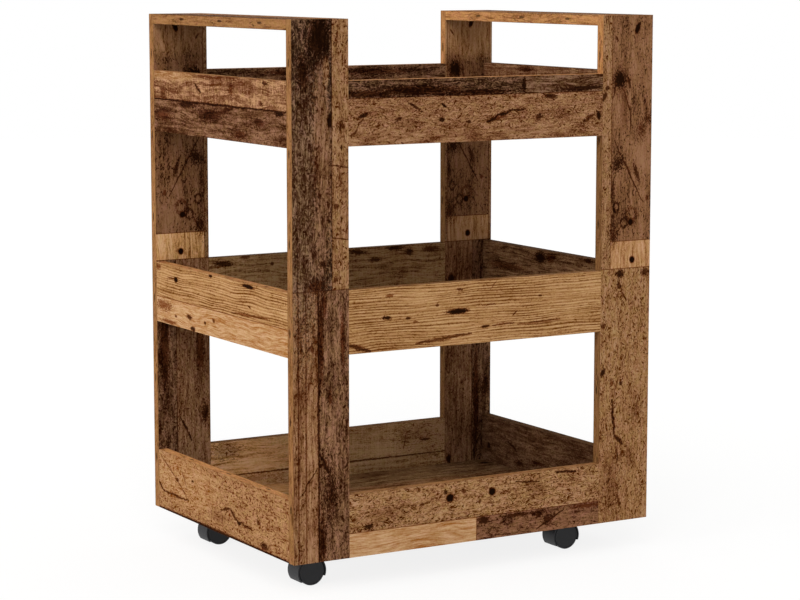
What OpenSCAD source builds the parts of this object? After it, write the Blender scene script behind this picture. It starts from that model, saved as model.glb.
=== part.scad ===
// Kitchen cart: three open trays between four flat posts, with two handle boards on top
// and four twin-wheel swivel casters under the lowest tray.
// Origin: on the floor under the centre of the cart. X runs across the front, Y to the rear, Z up.
// All sizes are in millimetres.

/* [Cart] */
// Overall width, across the front
cart_w = 600; // [500:10:800]
// Overall depth, front to rear
cart_d = 450; // [400:10:600]
// Overall height, from the floor to the top of the handle boards
cart_h = 800; // [760:10:1000]

/* [Boards] */
// Thickness of every board
board_t = 15; // [15:1:18]
// Width of a post and of a handle board
post_w = 88; // [76:2:110]
// Height of the rails round a tray
rail_h = 90; // [76:2:110]
// Free height between the top rails and the handle boards
handle_gap = 69; // [55:1:100]

/* [Wood dowels] */
// Diameter of a dowel
dowel_d = 8; // [6:1:8]
// Length of a dowel
dowel_l = 30; // [25:1:35]
// Depth of a dowel in the face of a board
dowel_face_depth = 10; // [8:1:11]
// Distance between the two dowels of one joint
dowel_pitch = 50; // [30:2:60]
// Chamfer on the ends of a dowel
dowel_chamfer = 1; // [0.5:0.1:1.5]

/* [Cam fittings] */
// Diameter of the cam
cam_d = 15; // [13:1:16]
// Board left above the pocket of a cam
cam_cover = 2.5; // [2:0.1:3]
// Distance from the end of a board to the centre of its cam
cam_reach = 34; // [30:1:38]
// Distance between the two cams that hold one rail
cam_pitch = 200; // [140:10:240]
// Diameter of the bolt's shank
bolt_d = 6; // [5:0.1:6.4]
// Diameter of the bolt's screw, in the face of a board
bolt_screw_d = 5; // [4:0.1:5.4]
// Length of the bolt's screw
bolt_screw_l = 11; // [9:0.5:12]
// Diameter of the bore that the shank passes through
bolt_bore_d = 8; // [7.6:0.1:8.4]
// Diameter of the bolt's neck
bolt_neck_d = 4; // [3:0.1:4.2]
// Diameter of the bolt's head
bolt_head_d = 6.6; // [6:0.1:7]
// Length of the bolt's head
bolt_head_l = 3; // [2.5:0.1:3.5]
// Length of the bolt's flange, which seats on the face of a board
bolt_flange_l = 1.4; // [1:0.1:2]
// Wall of the cam, round the room for the bolt's head
cam_wall = 2.2; // [1.8:0.1:2.6]
// Width over the arms of the cam's cross recess
cam_cross_w = 6; // [5:0.1:7]

/* [Caster plates] */
// Distance from the side of the cart to a swivel axis
caster_inset_x = 82; // [72:1:120]
// Distance from the front or rear of the cart to a swivel axis
caster_inset_y = 79.5; // [70:0.5:120]
// Side of the square mounting plate
plate_s = 38; // [37:1:44]
// Thickness of the mounting plate
plate_t = 2; // [1.5:0.1:3]
// Diameter of the round that takes off the plate's corners
plate_round_d = 50; // [48:1:52]
// Distance between the plate's screw holes
hole_pitch = 29; // [27:0.5:30]
// Diameter of the plate's screw holes
hole_d = 4.5; // [4.1:0.1:5]
// Diameter of a plate screw
screw_d = 3.5; // [3:0.1:4]
// Length of a plate screw under its head
screw_l = 12; // [10:1:14]
// Diameter of a plate screw's head
screw_head_d = 7; // [6:0.1:7.6]
// Height of a plate screw's head
screw_head_h = 2.2; // [1.6:0.1:2.6]
// Length of a plate screw's point
screw_point_l = 2; // [1.5:0.1:3]
// Width over the arms of a plate screw's cross recess
screw_cross_w = 3.6; // [3:0.1:4]

/* [Caster swivels] */
// Diameter of the swivel pin
pin_d = 8; // [7:0.1:8.4]
// Diameter of the pin's collar, between the plate and the housing
collar_d = 12; // [10:0.5:14]
// Height of the pin's collar
collar_h = 1.2; // [1:0.1:2]
// Length of the pin inside the housing
pin_reach = 18; // [16:0.5:19]
// Height of the retaining clip
clip_h = 1.2; // [1:0.1:1.6]
// Outer diameter of the retaining clip
clip_d = 9.8; // [9.2:0.1:10]
// Width of the clip's mouth
clip_mouth = 3; // [2:0.1:4]
// Depth of the pin's groove, which holds the clip
groove_depth = 0.8; // [0.6:0.1:1]
// Distance from the top of the housing down to the clip
clip_drop = 10.8; // [9:0.1:12]
// Distance from the swivel axis back to the axle
trail = 19; // [17:0.5:21]

/* [Caster wheels] */
// Diameter of a wheel
wheel_d = 40; // [38:1:46]
// Width of one wheel
wheel_w = 9; // [8:0.5:11]
// Free width between the two wheels
wheel_gap = 13; // [12.6:0.1:15]
// Thickness of the wheel's tread
tread_t = 2.8; // [2:0.1:3.5]
// Thickness of the wheel's outer disc
disc_t = 1.6; // [1.2:0.1:2.4]
// Depth of the outer disc below the edge of the tread
disc_sink = 0.4; // [0.2:0.1:0.8]
// Chamfer on the edges of the tread
tread_chamfer = 1; // [0.5:0.1:1.4]
// Wall of the wheel's hub
hub_wall = 2.4; // [1.8:0.1:3]
// Number of ribs between hub and tread
wheel_ribs = 6; // [4:1:10]
// Thickness of a rib
rib_t = 1.4; // [1:0.1:2]
// Diameter of the axle
axle_d = 6; // [5:0.1:6.4]
// Width of the ridge in the hub that snaps into the axle's groove
snap_w = 1; // [0.8:0.1:1.4]
// Height of that ridge
snap_depth = 0.4; // [0.3:0.05:0.5]
// Distance from the closed end of the hub to the middle of the ridge
snap_inset = 2.5; // [2:0.1:3]

/* [Caster housings] */
// Gap between a wheel and the hood over it
hood_gap = 0.8; // [0.5:0.1:1.2]
// Thickness of the hood
hood_t = 2; // [1.6:0.1:2.4]
// Height of the free space between the hood and the mounting plate
hood_room = 5.2; // [4.8:0.1:8]
// How far the hood reaches below the axle at its trailing end
hood_tail = 14; // [10:0.5:15]
// How far the hood reaches below the axle under the swivel
hood_nose = 8; // [4:0.5:9]
// Thickness of the wall between the two wheels
web_t = 5; // [4:0.1:6]
// How far the wall between the wheels reaches below the axle
web_drop = 4; // [2:0.5:5]
// Wall of the hub that holds the axle
axle_hub_wall = 3; // [2:0.1:4]
// Diameter of the flange on top of the swivel boss
flange_d = 17; // [15:0.5:20]
// Height of that flange
flange_h = 1.8; // [1.5:0.1:2.5]

/* [Clearances] */
// Diametral clearance of a dowel in its bore
dowel_fit = 0.1; // [0.05:0.01:0.2]
// Free length at each end of a dowel or screw
end_gap = 0.5; // [0.3:0.1:1]
// Radial clearance of a cam in its pocket
cam_fit = 0.1; // [0.05:0.01:0.2]
// Clearance round the bolt's flange, head and neck
cam_play = 0.3; // [0.2:0.05:0.4]
// Diametral clearance of a screw in its hole
screw_fit = 0.1; // [0.05:0.01:0.2]
// Radial clearance of the parts that turn
turn_fit = 0.05; // [0.02:0.01:0.1]
// Diametral clearance of a pin or axle that is pressed in
press_fit = 0.04; // [0.02:0.01:0.06]
// Gap beside the faces that turn past each other
side_gap = 0.4; // [0.3:0.1:0.6]

/* [Hidden] */
$fn = 48;

// Signs that pick a side: left and front are negative, right and rear are positive
left = -1;
right = 1;
front = -1;
rear = 1;
both = [-1, 1];

// Caster heights: the axle, the hood's outside, the plate and the top of the swivel boss
wheel_r = wheel_d / 2;
hood_r = wheel_r + hood_gap + hood_t;
plate_z = wheel_r + hood_r + hood_room;
caster_h = plate_z + plate_t;
boss_top = plate_z - collar_h - side_gap;

// Lengths of the boards between others
rail_l = cart_w - 2 * post_w;
inner_d = cart_d - 2 * board_t;
shelf_w = cart_w - 2 * board_t;

// Underside of each tray, lowest first
top_z = cart_h - board_t - handle_gap - rail_h;
tray_z = [caster_h, (caster_h + top_z) / 2, top_z];

// How far a cut reaches past the face that it opens
past = 1;

wood_brown = "#8a5f3c";
wood_tan = "#b0834f";
wood_dark = "#4a3122";
beech = "#d9b98a";
zinc = "#b9bcc0";
black_plastic = "#2c2c2e";

// Start of a board of length part that lies against side s of a width full
function against(s, full, part) = s < 0 ? -full / 2 : full / 2 - part;

// Places where a dowel crosses a joint: x, y, z, turn about Z, depth in the board past the joint.
// The local X axis points out of the end of the rail or handle board.
function rail_dowels(sx, sy, z) = [for (s = both)
    [sx * rail_l / 2, sy * (cart_d - board_t) / 2, z + rail_h / 2 + s * dowel_pitch / 2,
     sx > 0 ? 0 : 180, dowel_l / 2]];
function side_dowels(sx, sy, z) = [for (s = both)
    [sx * (cart_w - board_t) / 2, sy * inner_d / 2, z + rail_h / 2 + s * dowel_pitch / 2,
     90 * sy, dowel_face_depth]];
function handle_dowels(sx, sy) = [for (s = both)
    [sx * (cart_w - post_w) / 2 + s * dowel_pitch / 2, sy * inner_d / 2, cart_h - board_t / 2,
     90 * sy, dowel_face_depth]];

// Places where a cam bolt crosses a joint: x, y, z, turn about Z.
// The local X axis points into the board that holds the cam.
post_cam_x = (rail_l + shelf_w) / 4;
function post_cam(sx, sy, z) = [sx * post_cam_x, sy * inner_d / 2, z + board_t / 2, -90 * sy];
function rail_cam(sx, sy, z) = [sx * cam_pitch / 2, sy * inner_d / 2, z + board_t / 2, -90 * sy];
function side_cam(sx, sy, z) = [sx * shelf_w / 2, sy * cam_pitch / 2, z + board_t / 2, sx > 0 ? 180 : 0];
function handle_cam(sx, sy) = [sx * (cart_w - post_w) / 2, sy * inner_d / 2, cart_h - board_t / 2, -90 * sy];
function shelf_cams(z) = [for (sx = both, sy = both)
    each [post_cam(sx, sy, z), rail_cam(sx, sy, z), side_cam(sx, sy, z)]];

module place(p) {
    translate([p[0], p[1], p[2]])
        rotate([0, 0, p[3]])
            children();
}

// A round bar or bore along X
module along_x(from, length, d) {
    translate([from, 0, 0])
        rotate([0, 90, 0])
            cylinder(h = length, d = d);
}

module dowel_bore(p) {
    place(p) along_x(p[4] - dowel_l - end_gap, dowel_l + 2 * end_gap, dowel_d + dowel_fit);
}

module dowel(p) {
    body_l = dowel_l - 2 * dowel_chamfer;
    tip_d = dowel_d - 2 * dowel_chamfer;
    place(p)
        translate([p[4] - dowel_l, 0, 0])
            rotate([0, 90, 0]) {
                cylinder(h = dowel_chamfer, d1 = tip_d, d2 = dowel_d);
                translate([0, 0, dowel_chamfer]) cylinder(h = body_l, d = dowel_d);
                translate([0, 0, dowel_chamfer + body_l])
                    cylinder(h = dowel_chamfer, d1 = dowel_d, d2 = tip_d);
            }
}

// Hole for a cam bolt's screw, in the face that the bolt stands on
module bolt_hole(p) {
    place(p) along_x(-bolt_screw_l - end_gap, bolt_screw_l + end_gap + past, bolt_screw_d + screw_fit);
}

// Bore and pocket for a cam, in the board that it pulls against that face
cam_pocket_h = board_t - cam_cover;
module cam_pocket(p) {
    place(p) {
        along_x(-past, cam_reach + past, bolt_bore_d);
        translate([cam_reach, 0, -board_t / 2 - past])
            cylinder(h = cam_pocket_h + past, d = cam_d + 2 * cam_fit);
    }
}

// The bolt's neck runs through the wall of the cam, and its head is caught behind that wall
cam_room_d = cam_d - 2 * cam_wall;
head_back = cam_reach - sqrt(pow(cam_room_d / 2, 2) - pow(bolt_head_d / 2, 2)) + cam_fit;
neck_start = cam_reach - cam_d / 2 - past;
module cam_bolt(p) {
    place(p) {
        along_x(-bolt_screw_l, bolt_screw_l, bolt_screw_d);
        along_x(0, bolt_flange_l, bolt_bore_d - 2 * cam_play);
        along_x(bolt_flange_l, neck_start - bolt_flange_l, bolt_d);
        along_x(neck_start, head_back - neck_start, bolt_neck_d);
        along_x(head_back, bolt_head_l, bolt_head_d);
    }
}

// Cross recess for a screwdriver, cut upward from z = 0: arm is its width over the arms
module cross_recess(arm) {
    w = arm / 4;
    depth = arm * 0.4;
    for (a = [0, 90])
        rotate([0, 0, a])
            translate([-arm / 2, -w / 2, -past]) cube([arm, w, depth + past]);
}

// The cam is shown locked. The head enters by the wide mouth on its side,
// a quarter turn away, and the narrow slot between the two slides round the neck.
cam_slot_angle = 120;
cam_slot_lead = 30;
module cam_disc(p) {
    room_h = bolt_head_d + 2 * cam_play;
    slot_w = bolt_neck_d + 2 * cam_play;
    slot_r = cam_room_d / 2 - cam_wall / 2;
    place(p)
        translate([cam_reach, 0, -board_t / 2])
            difference() {
                cylinder(h = cam_pocket_h - cam_fit, d = cam_d);
                translate([0, 0, board_t / 2 - room_h / 2]) cylinder(h = room_h, d = cam_room_d);
                translate([0, 0, board_t / 2 - slot_w / 2])
                    rotate([0, 0, 180 - cam_slot_lead])
                        rotate_extrude(angle = cam_slot_angle)
                            translate([slot_r, 0]) square([cam_d / 2 - slot_r + past, slot_w]);
                translate([-room_h / 2, -cam_d, board_t / 2 - room_h / 2]) cube([room_h, cam_d, room_h]);
                cross_recess(cam_cross_w);
            }
}

// Boards

module post(sx, sy) {
    color(wood_brown)
        difference() {
            translate([against(sx, cart_w, post_w), against(sy, cart_d, board_t), caster_h])
                cube([post_w, board_t, cart_h - caster_h]);
            for (z = tray_z) {
                for (p = rail_dowels(sx, sy, z)) dowel_bore(p);
                for (p = side_dowels(sx, sy, z)) dowel_bore(p);
                bolt_hole(post_cam(sx, sy, z));
            }
            for (p = handle_dowels(sx, sy)) dowel_bore(p);
            bolt_hole(handle_cam(sx, sy));
        }
}

// Front or rear rail of a tray
module cross_rail(sy, z, tone) {
    color(tone)
        difference() {
            translate([-rail_l / 2, against(sy, cart_d, board_t), z]) cube([rail_l, board_t, rail_h]);
            for (sx = both) {
                for (p = rail_dowels(sx, sy, z)) dowel_bore(p);
                bolt_hole(rail_cam(sx, sy, z));
            }
        }
}

// Left or right rail of a tray
module side_rail(sx, z, tone) {
    color(tone)
        difference() {
            translate([against(sx, cart_w, board_t), -inner_d / 2, z]) cube([board_t, inner_d, rail_h]);
            for (sy = both) {
                for (p = side_dowels(sx, sy, z)) dowel_bore(p);
                bolt_hole(side_cam(sx, sy, z));
            }
        }
}

module shelf(z) {
    color(wood_tan)
        difference() {
            translate([-shelf_w / 2, -inner_d / 2, z]) cube([shelf_w, inner_d, board_t]);
            for (p = shelf_cams(z)) cam_pocket(p);
            if (z == tray_z[0])
                for (sx = both, sy = both)
                    at_caster(sx, sy)
                        at_plate_holes()
                            translate([0, 0, caster_h - past])
                                cylinder(h = past + screw_l - plate_t + end_gap, d = screw_d + screw_fit);
        }
}

module handle_board(sx) {
    color(wood_tan)
        difference() {
            translate([against(sx, cart_w, post_w), -inner_d / 2, cart_h - board_t])
                cube([post_w, inner_d, board_t]);
            for (sy = both) {
                for (p = handle_dowels(sx, sy)) dowel_bore(p);
                cam_pocket(handle_cam(sx, sy));
            }
        }
}

// Fasteners in the boards

module wood_dowels() {
    color(beech)
        for (sx = both, sy = both) {
            for (z = tray_z) {
                for (p = rail_dowels(sx, sy, z)) dowel(p);
                for (p = side_dowels(sx, sy, z)) dowel(p);
            }
            for (p = handle_dowels(sx, sy)) dowel(p);
        }
}

module cam_bolts() {
    color(zinc) {
        for (z = tray_z, p = shelf_cams(z)) cam_bolt(p);
        for (sx = both, sy = both) cam_bolt(handle_cam(sx, sy));
    }
}

module cam_discs() {
    color(zinc) {
        for (z = tray_z, p = shelf_cams(z)) cam_disc(p);
        for (sx = both, sy = both) cam_disc(handle_cam(sx, sy));
    }
}

// Casters: each is drawn about its swivel axis, with the axle trailing toward the left side

module at_caster(sx, sy) {
    translate([sx * (cart_w / 2 - caster_inset_x), sy * (cart_d / 2 - caster_inset_y), 0])
        children();
}

module at_axle() {
    translate([-trail, 0, wheel_r])
        rotate([90, 0, 0])
            children();
}

module at_plate_holes() {
    for (px = both, py = both)
        translate([px * hole_pitch / 2, py * hole_pitch / 2, 0])
            children();
}

module caster_plate(sx, sy) {
    color(zinc)
        at_caster(sx, sy)
            difference() {
                intersection() {
                    translate([-plate_s / 2, -plate_s / 2, plate_z]) cube([plate_s, plate_s, plate_t]);
                    translate([0, 0, plate_z - past]) cylinder(h = plate_t + 2 * past, d = plate_round_d);
                }
                translate([0, 0, plate_z - past]) cylinder(h = plate_t + 2 * past, d = pin_d + press_fit);
                at_plate_holes()
                    translate([0, 0, plate_z - past]) cylinder(h = plate_t + 2 * past, d = hole_d);
            }
}

module caster_screws() {
    point_d = screw_d / 4;
    shank_l = screw_l - screw_point_l;
    color(zinc)
        for (sx = both, sy = both)
            at_caster(sx, sy)
                at_plate_holes()
                    translate([0, 0, plate_z]) {
                        difference() {
                            translate([0, 0, -screw_head_h])
                                cylinder(h = screw_head_h, d1 = screw_head_d - screw_head_h, d2 = screw_head_d);
                            translate([0, 0, -screw_head_h]) cross_recess(screw_cross_w);
                        }
                        cylinder(h = shank_l, d = screw_d);
                        translate([0, 0, shank_l]) cylinder(h = screw_point_l, d1 = screw_d, d2 = point_d);
                    }
}

// The retaining clip sits in the pin's groove and turns in a chamber in the swivel boss
clip_z = boss_top - clip_drop;
groove_d = pin_d - 2 * groove_depth;

module swivel_pin(sx, sy) {
    tip_h = groove_depth;
    bottom = boss_top - pin_reach;
    color(zinc)
        at_caster(sx, sy)
            difference() {
                union() {
                    translate([0, 0, bottom]) cylinder(h = tip_h, d1 = pin_d - 2 * tip_h, d2 = pin_d);
                    translate([0, 0, bottom + tip_h]) cylinder(h = caster_h - bottom - tip_h, d = pin_d);
                    translate([0, 0, plate_z - collar_h]) cylinder(h = collar_h, d = collar_d);
                }
                translate([0, 0, clip_z - turn_fit])
                    difference() {
                        cylinder(h = clip_h + 2 * turn_fit, d = pin_d + 2 * past);
                        cylinder(h = clip_h + 2 * turn_fit, d = groove_d);
                    }
            }
}

module swivel_clips() {
    color(zinc)
        for (sx = both, sy = both)
            at_caster(sx, sy)
                translate([0, 0, clip_z])
                    difference() {
                        cylinder(h = clip_h, d = clip_d);
                        translate([0, 0, -past]) cylinder(h = clip_h + 2 * past, d = groove_d + press_fit);
                        translate([0, -clip_mouth / 2, -past]) cube([clip_d, clip_mouth, clip_h + 2 * past]);
                    }
}

// Side view of the hood, about the axle: the trailing side is at negative x
module hood_outline() {
    difference() {
        circle(r = hood_r);
        circle(r = hood_r - hood_t);
        translate([-hood_r - past, -hood_r - past]) square([hood_r + past, hood_r + past - hood_tail]);
        translate([-past, -hood_r - past]) square([hood_r + 2 * past, hood_r + past - hood_nose]);
    }
}

// Side view of the wall between the wheels, with the gusset up to the swivel boss
module web_outline() {
    skin_r = hood_r - hood_t / 2;
    difference() {
        circle(r = skin_r);
        translate([-hood_r, -hood_r - web_drop]) square([2 * hood_r, hood_r]);
    }
    polygon([
        [0, 0],
        [-hood_r * 0.45, skin_r * 0.85],
        [trail - flange_d / 2, boss_top - flange_h - wheel_r],
        [trail, boss_top - flange_h / 2 - wheel_r],
        [trail, web_drop],
    ]);
}

module caster_housing(sx, sy) {
    pair_w = 2 * wheel_w + wheel_gap;
    boss_d = wheel_gap - 2 * side_gap;
    boss_foot = wheel_r + web_drop;
    color(black_plastic)
        at_caster(sx, sy)
            difference() {
                union() {
                    at_axle() linear_extrude(height = pair_w, center = true) hood_outline();
                    at_axle() linear_extrude(height = web_t, center = true) web_outline();
                    at_axle() cylinder(h = boss_d, d = axle_d + 2 * axle_hub_wall, center = true);
                    translate([0, 0, boss_foot]) cylinder(h = boss_top - boss_foot, d = boss_d);
                    translate([0, 0, boss_top - flange_h]) cylinder(h = flange_h, d = flange_d);
                }
                at_axle() cylinder(h = wheel_gap, d = axle_d + press_fit, center = true);
                translate([0, 0, boss_top - pin_reach - end_gap])
                    cylinder(h = pin_reach + end_gap + past, d = pin_d + 2 * turn_fit);
                translate([0, 0, clip_z - side_gap])
                    cylinder(h = clip_h + 2 * side_gap, d = clip_d + 2 * turn_fit);
            }
}

// Closed end of a wheel's hub, and the snap groove of the axle, from the middle of the caster
hub_end = wheel_gap / 2 + wheel_w - disc_sink - disc_t;
snap_y = hub_end - snap_inset;

module caster_axle(sx, sy) {
    reach = hub_end - end_gap;
    groove_w = snap_w + 2 * turn_fit;
    color(zinc)
        at_caster(sx, sy)
            at_axle()
                difference() {
                    cylinder(h = 2 * reach, d = axle_d, center = true);
                    for (s = both)
                        translate([0, 0, s * snap_y])
                            difference() {
                                cylinder(h = groove_w, d = axle_d + past, center = true);
                                cylinder(h = groove_w, d = axle_d - 2 * snap_depth, center = true);
                            }
                }
}

// Half section of a wheel: x is the radius, y the distance from the middle of the caster
module wheel_section() {
    y0 = wheel_gap / 2;
    y1 = y0 + wheel_w;
    bore_r = axle_d / 2 + turn_fit;
    ridge_r = bore_r - snap_depth;
    disc_y = y1 - disc_sink;
    hub_r = bore_r + hub_wall;
    rim_r = wheel_r - tread_t;
    polygon([
        [bore_r, y0], [hub_r, y0], [hub_r, hub_end], [rim_r, hub_end], [rim_r, y0],
        [wheel_r - tread_chamfer, y0], [wheel_r, y0 + tread_chamfer],
        [wheel_r, y1 - tread_chamfer], [wheel_r - tread_chamfer, y1],
        [rim_r + disc_sink, y1], [rim_r, disc_y], [0, disc_y], [0, hub_end],
        [bore_r, hub_end], [bore_r, snap_y + snap_w / 2], [ridge_r, snap_y + snap_w / 2],
        [ridge_r, snap_y - snap_w / 2], [bore_r, snap_y - snap_w / 2],
    ]);
}

// One wheel: s is the side of the caster that it runs on
module caster_wheel(sx, sy, s) {
    rib_from = axle_d / 2 + turn_fit + hub_wall / 2;
    rib_l = wheel_r - tread_t / 2 - rib_from;
    rib_h = wheel_w - disc_sink - disc_t / 2 - tread_chamfer;
    color(black_plastic)
        at_caster(sx, sy)
            translate([-trail, 0, wheel_r])
                rotate([-90 * s, 0, 0]) {
                    rotate_extrude() wheel_section();
                    for (i = [0 : wheel_ribs - 1])
                        rotate([0, 0, i * 360 / wheel_ribs])
                            translate([rib_from, -rib_t / 2, wheel_gap / 2 + tread_chamfer])
                                cube([rib_l, rib_t, rib_h]);
                }
}

post(left, front);  // post_front_left
post(right, front);  // post_front_right
post(left, rear);  // post_rear_left
post(right, rear);  // post_rear_right
handle_board(left);  // handle_board_left
handle_board(right);  // handle_board_right
cross_rail(front, tray_z[2], wood_dark);  // top_front_rail
cross_rail(rear, tray_z[2], wood_dark);  // top_rear_rail
side_rail(left, tray_z[2], wood_brown);  // top_left_rail
side_rail(right, tray_z[2], wood_brown);  // top_right_rail
shelf(tray_z[2]);  // top_shelf
cross_rail(front, tray_z[1], wood_tan);  // middle_front_rail
cross_rail(rear, tray_z[1], wood_tan);  // middle_rear_rail
side_rail(left, tray_z[1], wood_tan);  // middle_left_rail
side_rail(right, tray_z[1], wood_tan);  // middle_right_rail
shelf(tray_z[1]);  // middle_shelf
cross_rail(front, tray_z[0], wood_tan);  // bottom_front_rail
cross_rail(rear, tray_z[0], wood_tan);  // bottom_rear_rail
side_rail(left, tray_z[0], wood_tan);  // bottom_left_rail
side_rail(right, tray_z[0], wood_tan);  // bottom_right_rail
shelf(tray_z[0]);  // bottom_shelf
wood_dowels();
cam_bolts();
cam_discs();
caster_screws();
swivel_clips();
caster_plate(left, front);  // front_left_plate
swivel_pin(left, front);  // front_left_swivel_pin
caster_housing(left, front);  // front_left_housing
caster_axle(left, front);  // front_left_axle
caster_wheel(left, front, front);  // front_left_wheel_fore
caster_wheel(left, front, rear);  // front_left_wheel_aft
caster_plate(right, front);  // front_right_plate
swivel_pin(right, front);  // front_right_swivel_pin
caster_housing(right, front);  // front_right_housing
caster_axle(right, front);  // front_right_axle
caster_wheel(right, front, front);  // front_right_wheel_fore
caster_wheel(right, front, rear);  // front_right_wheel_aft
caster_plate(left, rear);  // rear_left_plate
swivel_pin(left, rear);  // rear_left_swivel_pin
caster_housing(left, rear);  // rear_left_housing
caster_axle(left, rear);  // rear_left_axle
caster_wheel(left, rear, front);  // rear_left_wheel_fore
caster_wheel(left, rear, rear);  // rear_left_wheel_aft
caster_plate(right, rear);  // rear_right_plate
swivel_pin(right, rear);  // rear_right_swivel_pin
caster_housing(right, rear);  // rear_right_housing
caster_axle(right, rear);  // rear_right_axle
caster_wheel(right, rear, front);  // rear_right_wheel_fore
caster_wheel(right, rear, rear);  // rear_right_wheel_aft
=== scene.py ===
"""Looks of a kitchen cart: plank-print melamine boards, zinc fittings and black nylon casters."""
import math
from collections import namedtuple

import bpy
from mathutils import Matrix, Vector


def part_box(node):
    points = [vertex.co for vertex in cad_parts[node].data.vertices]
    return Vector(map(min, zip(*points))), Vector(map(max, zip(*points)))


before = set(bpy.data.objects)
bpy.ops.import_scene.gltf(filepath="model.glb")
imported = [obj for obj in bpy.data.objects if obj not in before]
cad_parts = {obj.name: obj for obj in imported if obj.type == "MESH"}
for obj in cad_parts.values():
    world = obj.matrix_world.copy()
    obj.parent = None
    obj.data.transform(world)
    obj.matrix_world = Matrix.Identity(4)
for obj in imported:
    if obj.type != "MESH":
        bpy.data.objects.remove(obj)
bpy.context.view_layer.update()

bl_info = {
    "name": "Kitchen Cart Looks",
    "version": (1, 0, 0),
    "blender": (4, 5, 0),
    "location": "View3D > Sidebar > Cart",
    "description": "Dresses a kitchen cart's boards, fittings and casters, and sets a plain studio round it",
    "category": "Object",
}

MM = 0.001
CORNERS = ("front_left", "front_right", "rear_left", "rear_right")
POSTS = tuple("post_" + corner for corner in CORNERS)
HANDLES = ("handle_board_left", "handle_board_right")
TRAYS = ("top", "middle", "bottom")
SIDES = ("front", "rear", "left", "right")
# Past the ends of every board, so that a plank runs on to the board's own edge.
BELOW, ABOVE = -2000.0, 2000.0

# A colour Mix node lays the colour at input 7 over the one at input 6, and gives it at output 2.
UNDER, OVER, MIXED = 6, 7, 2
# A number Mix node does so with inputs 2 and 3, and gives the number at its first output.
UNDER_NUMBER, OVER_NUMBER = 2, 3
SMOOTH = {"interpolation_type": "SMOOTHSTEP"}
WHITE = (1.0, 1.0, 1.0)


def linear(code):
    """The linear colour of an sRGB hex value."""
    parts = [int(code[place:place + 2], 16) / 255 for place in (0, 2, 4)]
    return [part / 12.92 if part <= 0.04045 else ((part + 0.055) / 1.055) ** 2.4 for part in parts]


def add(tree, kind, feeds=(), **settings):
    """One shader node with its settings and links. A kind such as "Math ADD" also says what the node does."""
    kind, _, operation = kind.partition(" ")
    node = tree.nodes.new("ShaderNode" + kind)
    if operation:
        node.operation = operation
    for name, value in settings.items():
        setattr(node, name, value)
    feed_sockets(tree, node, feeds)
    return node


def feed_sockets(tree, node, feeds):
    """Feeds a node's inputs, by name or in order, with a value, a node's first output, or (node, output)."""
    for name, feed in feeds.items() if isinstance(feeds, dict) else enumerate(feeds):
        socket = node.inputs[name]
        if isinstance(feed, bpy.types.Node):
            tree.links.new(feed.outputs[0], socket)
        elif isinstance(feed, tuple) and isinstance(feed[0], bpy.types.Node):
            tree.links.new(feed[0].outputs[feed[1]], socket)
        elif socket.type == "RGBA" and len(feed) == 3:
            socket.default_value = (*feed, 1.0)
        else:
            socket.default_value = feed


def pattern(name, inputs, outputs):
    """An empty node group with its sockets, and its input and output nodes."""
    tree = bpy.data.node_groups.new(name, "ShaderNodeTree")
    for label, kind in inputs:
        tree.interface.new_socket(label, in_out="INPUT", socket_type=kind)
    for label, kind in outputs:
        tree.interface.new_socket(label, in_out="OUTPUT", socket_type=kind)
    return tree, tree.nodes.new("NodeGroupInput"), tree.nodes.new("NodeGroupOutput")


def field(tree, place, cell, octaves, rough=0.5):
    """Noise of cells of a given length and width in mm, round nought."""
    scaled = add(tree, "VectorMath DIVIDE", [place, cell])
    noise = add(tree, "TexNoise", {"Vector": scaled, "Scale": 1.0, "Detail": octaves, "Roughness": rough})
    return add(tree, "Math SUBTRACT", [noise, 0.5])


NUMBER, COLOUR, VECTOR = "NodeSocketFloat", "NodeSocketColor", "NodeSocketVector"

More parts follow.
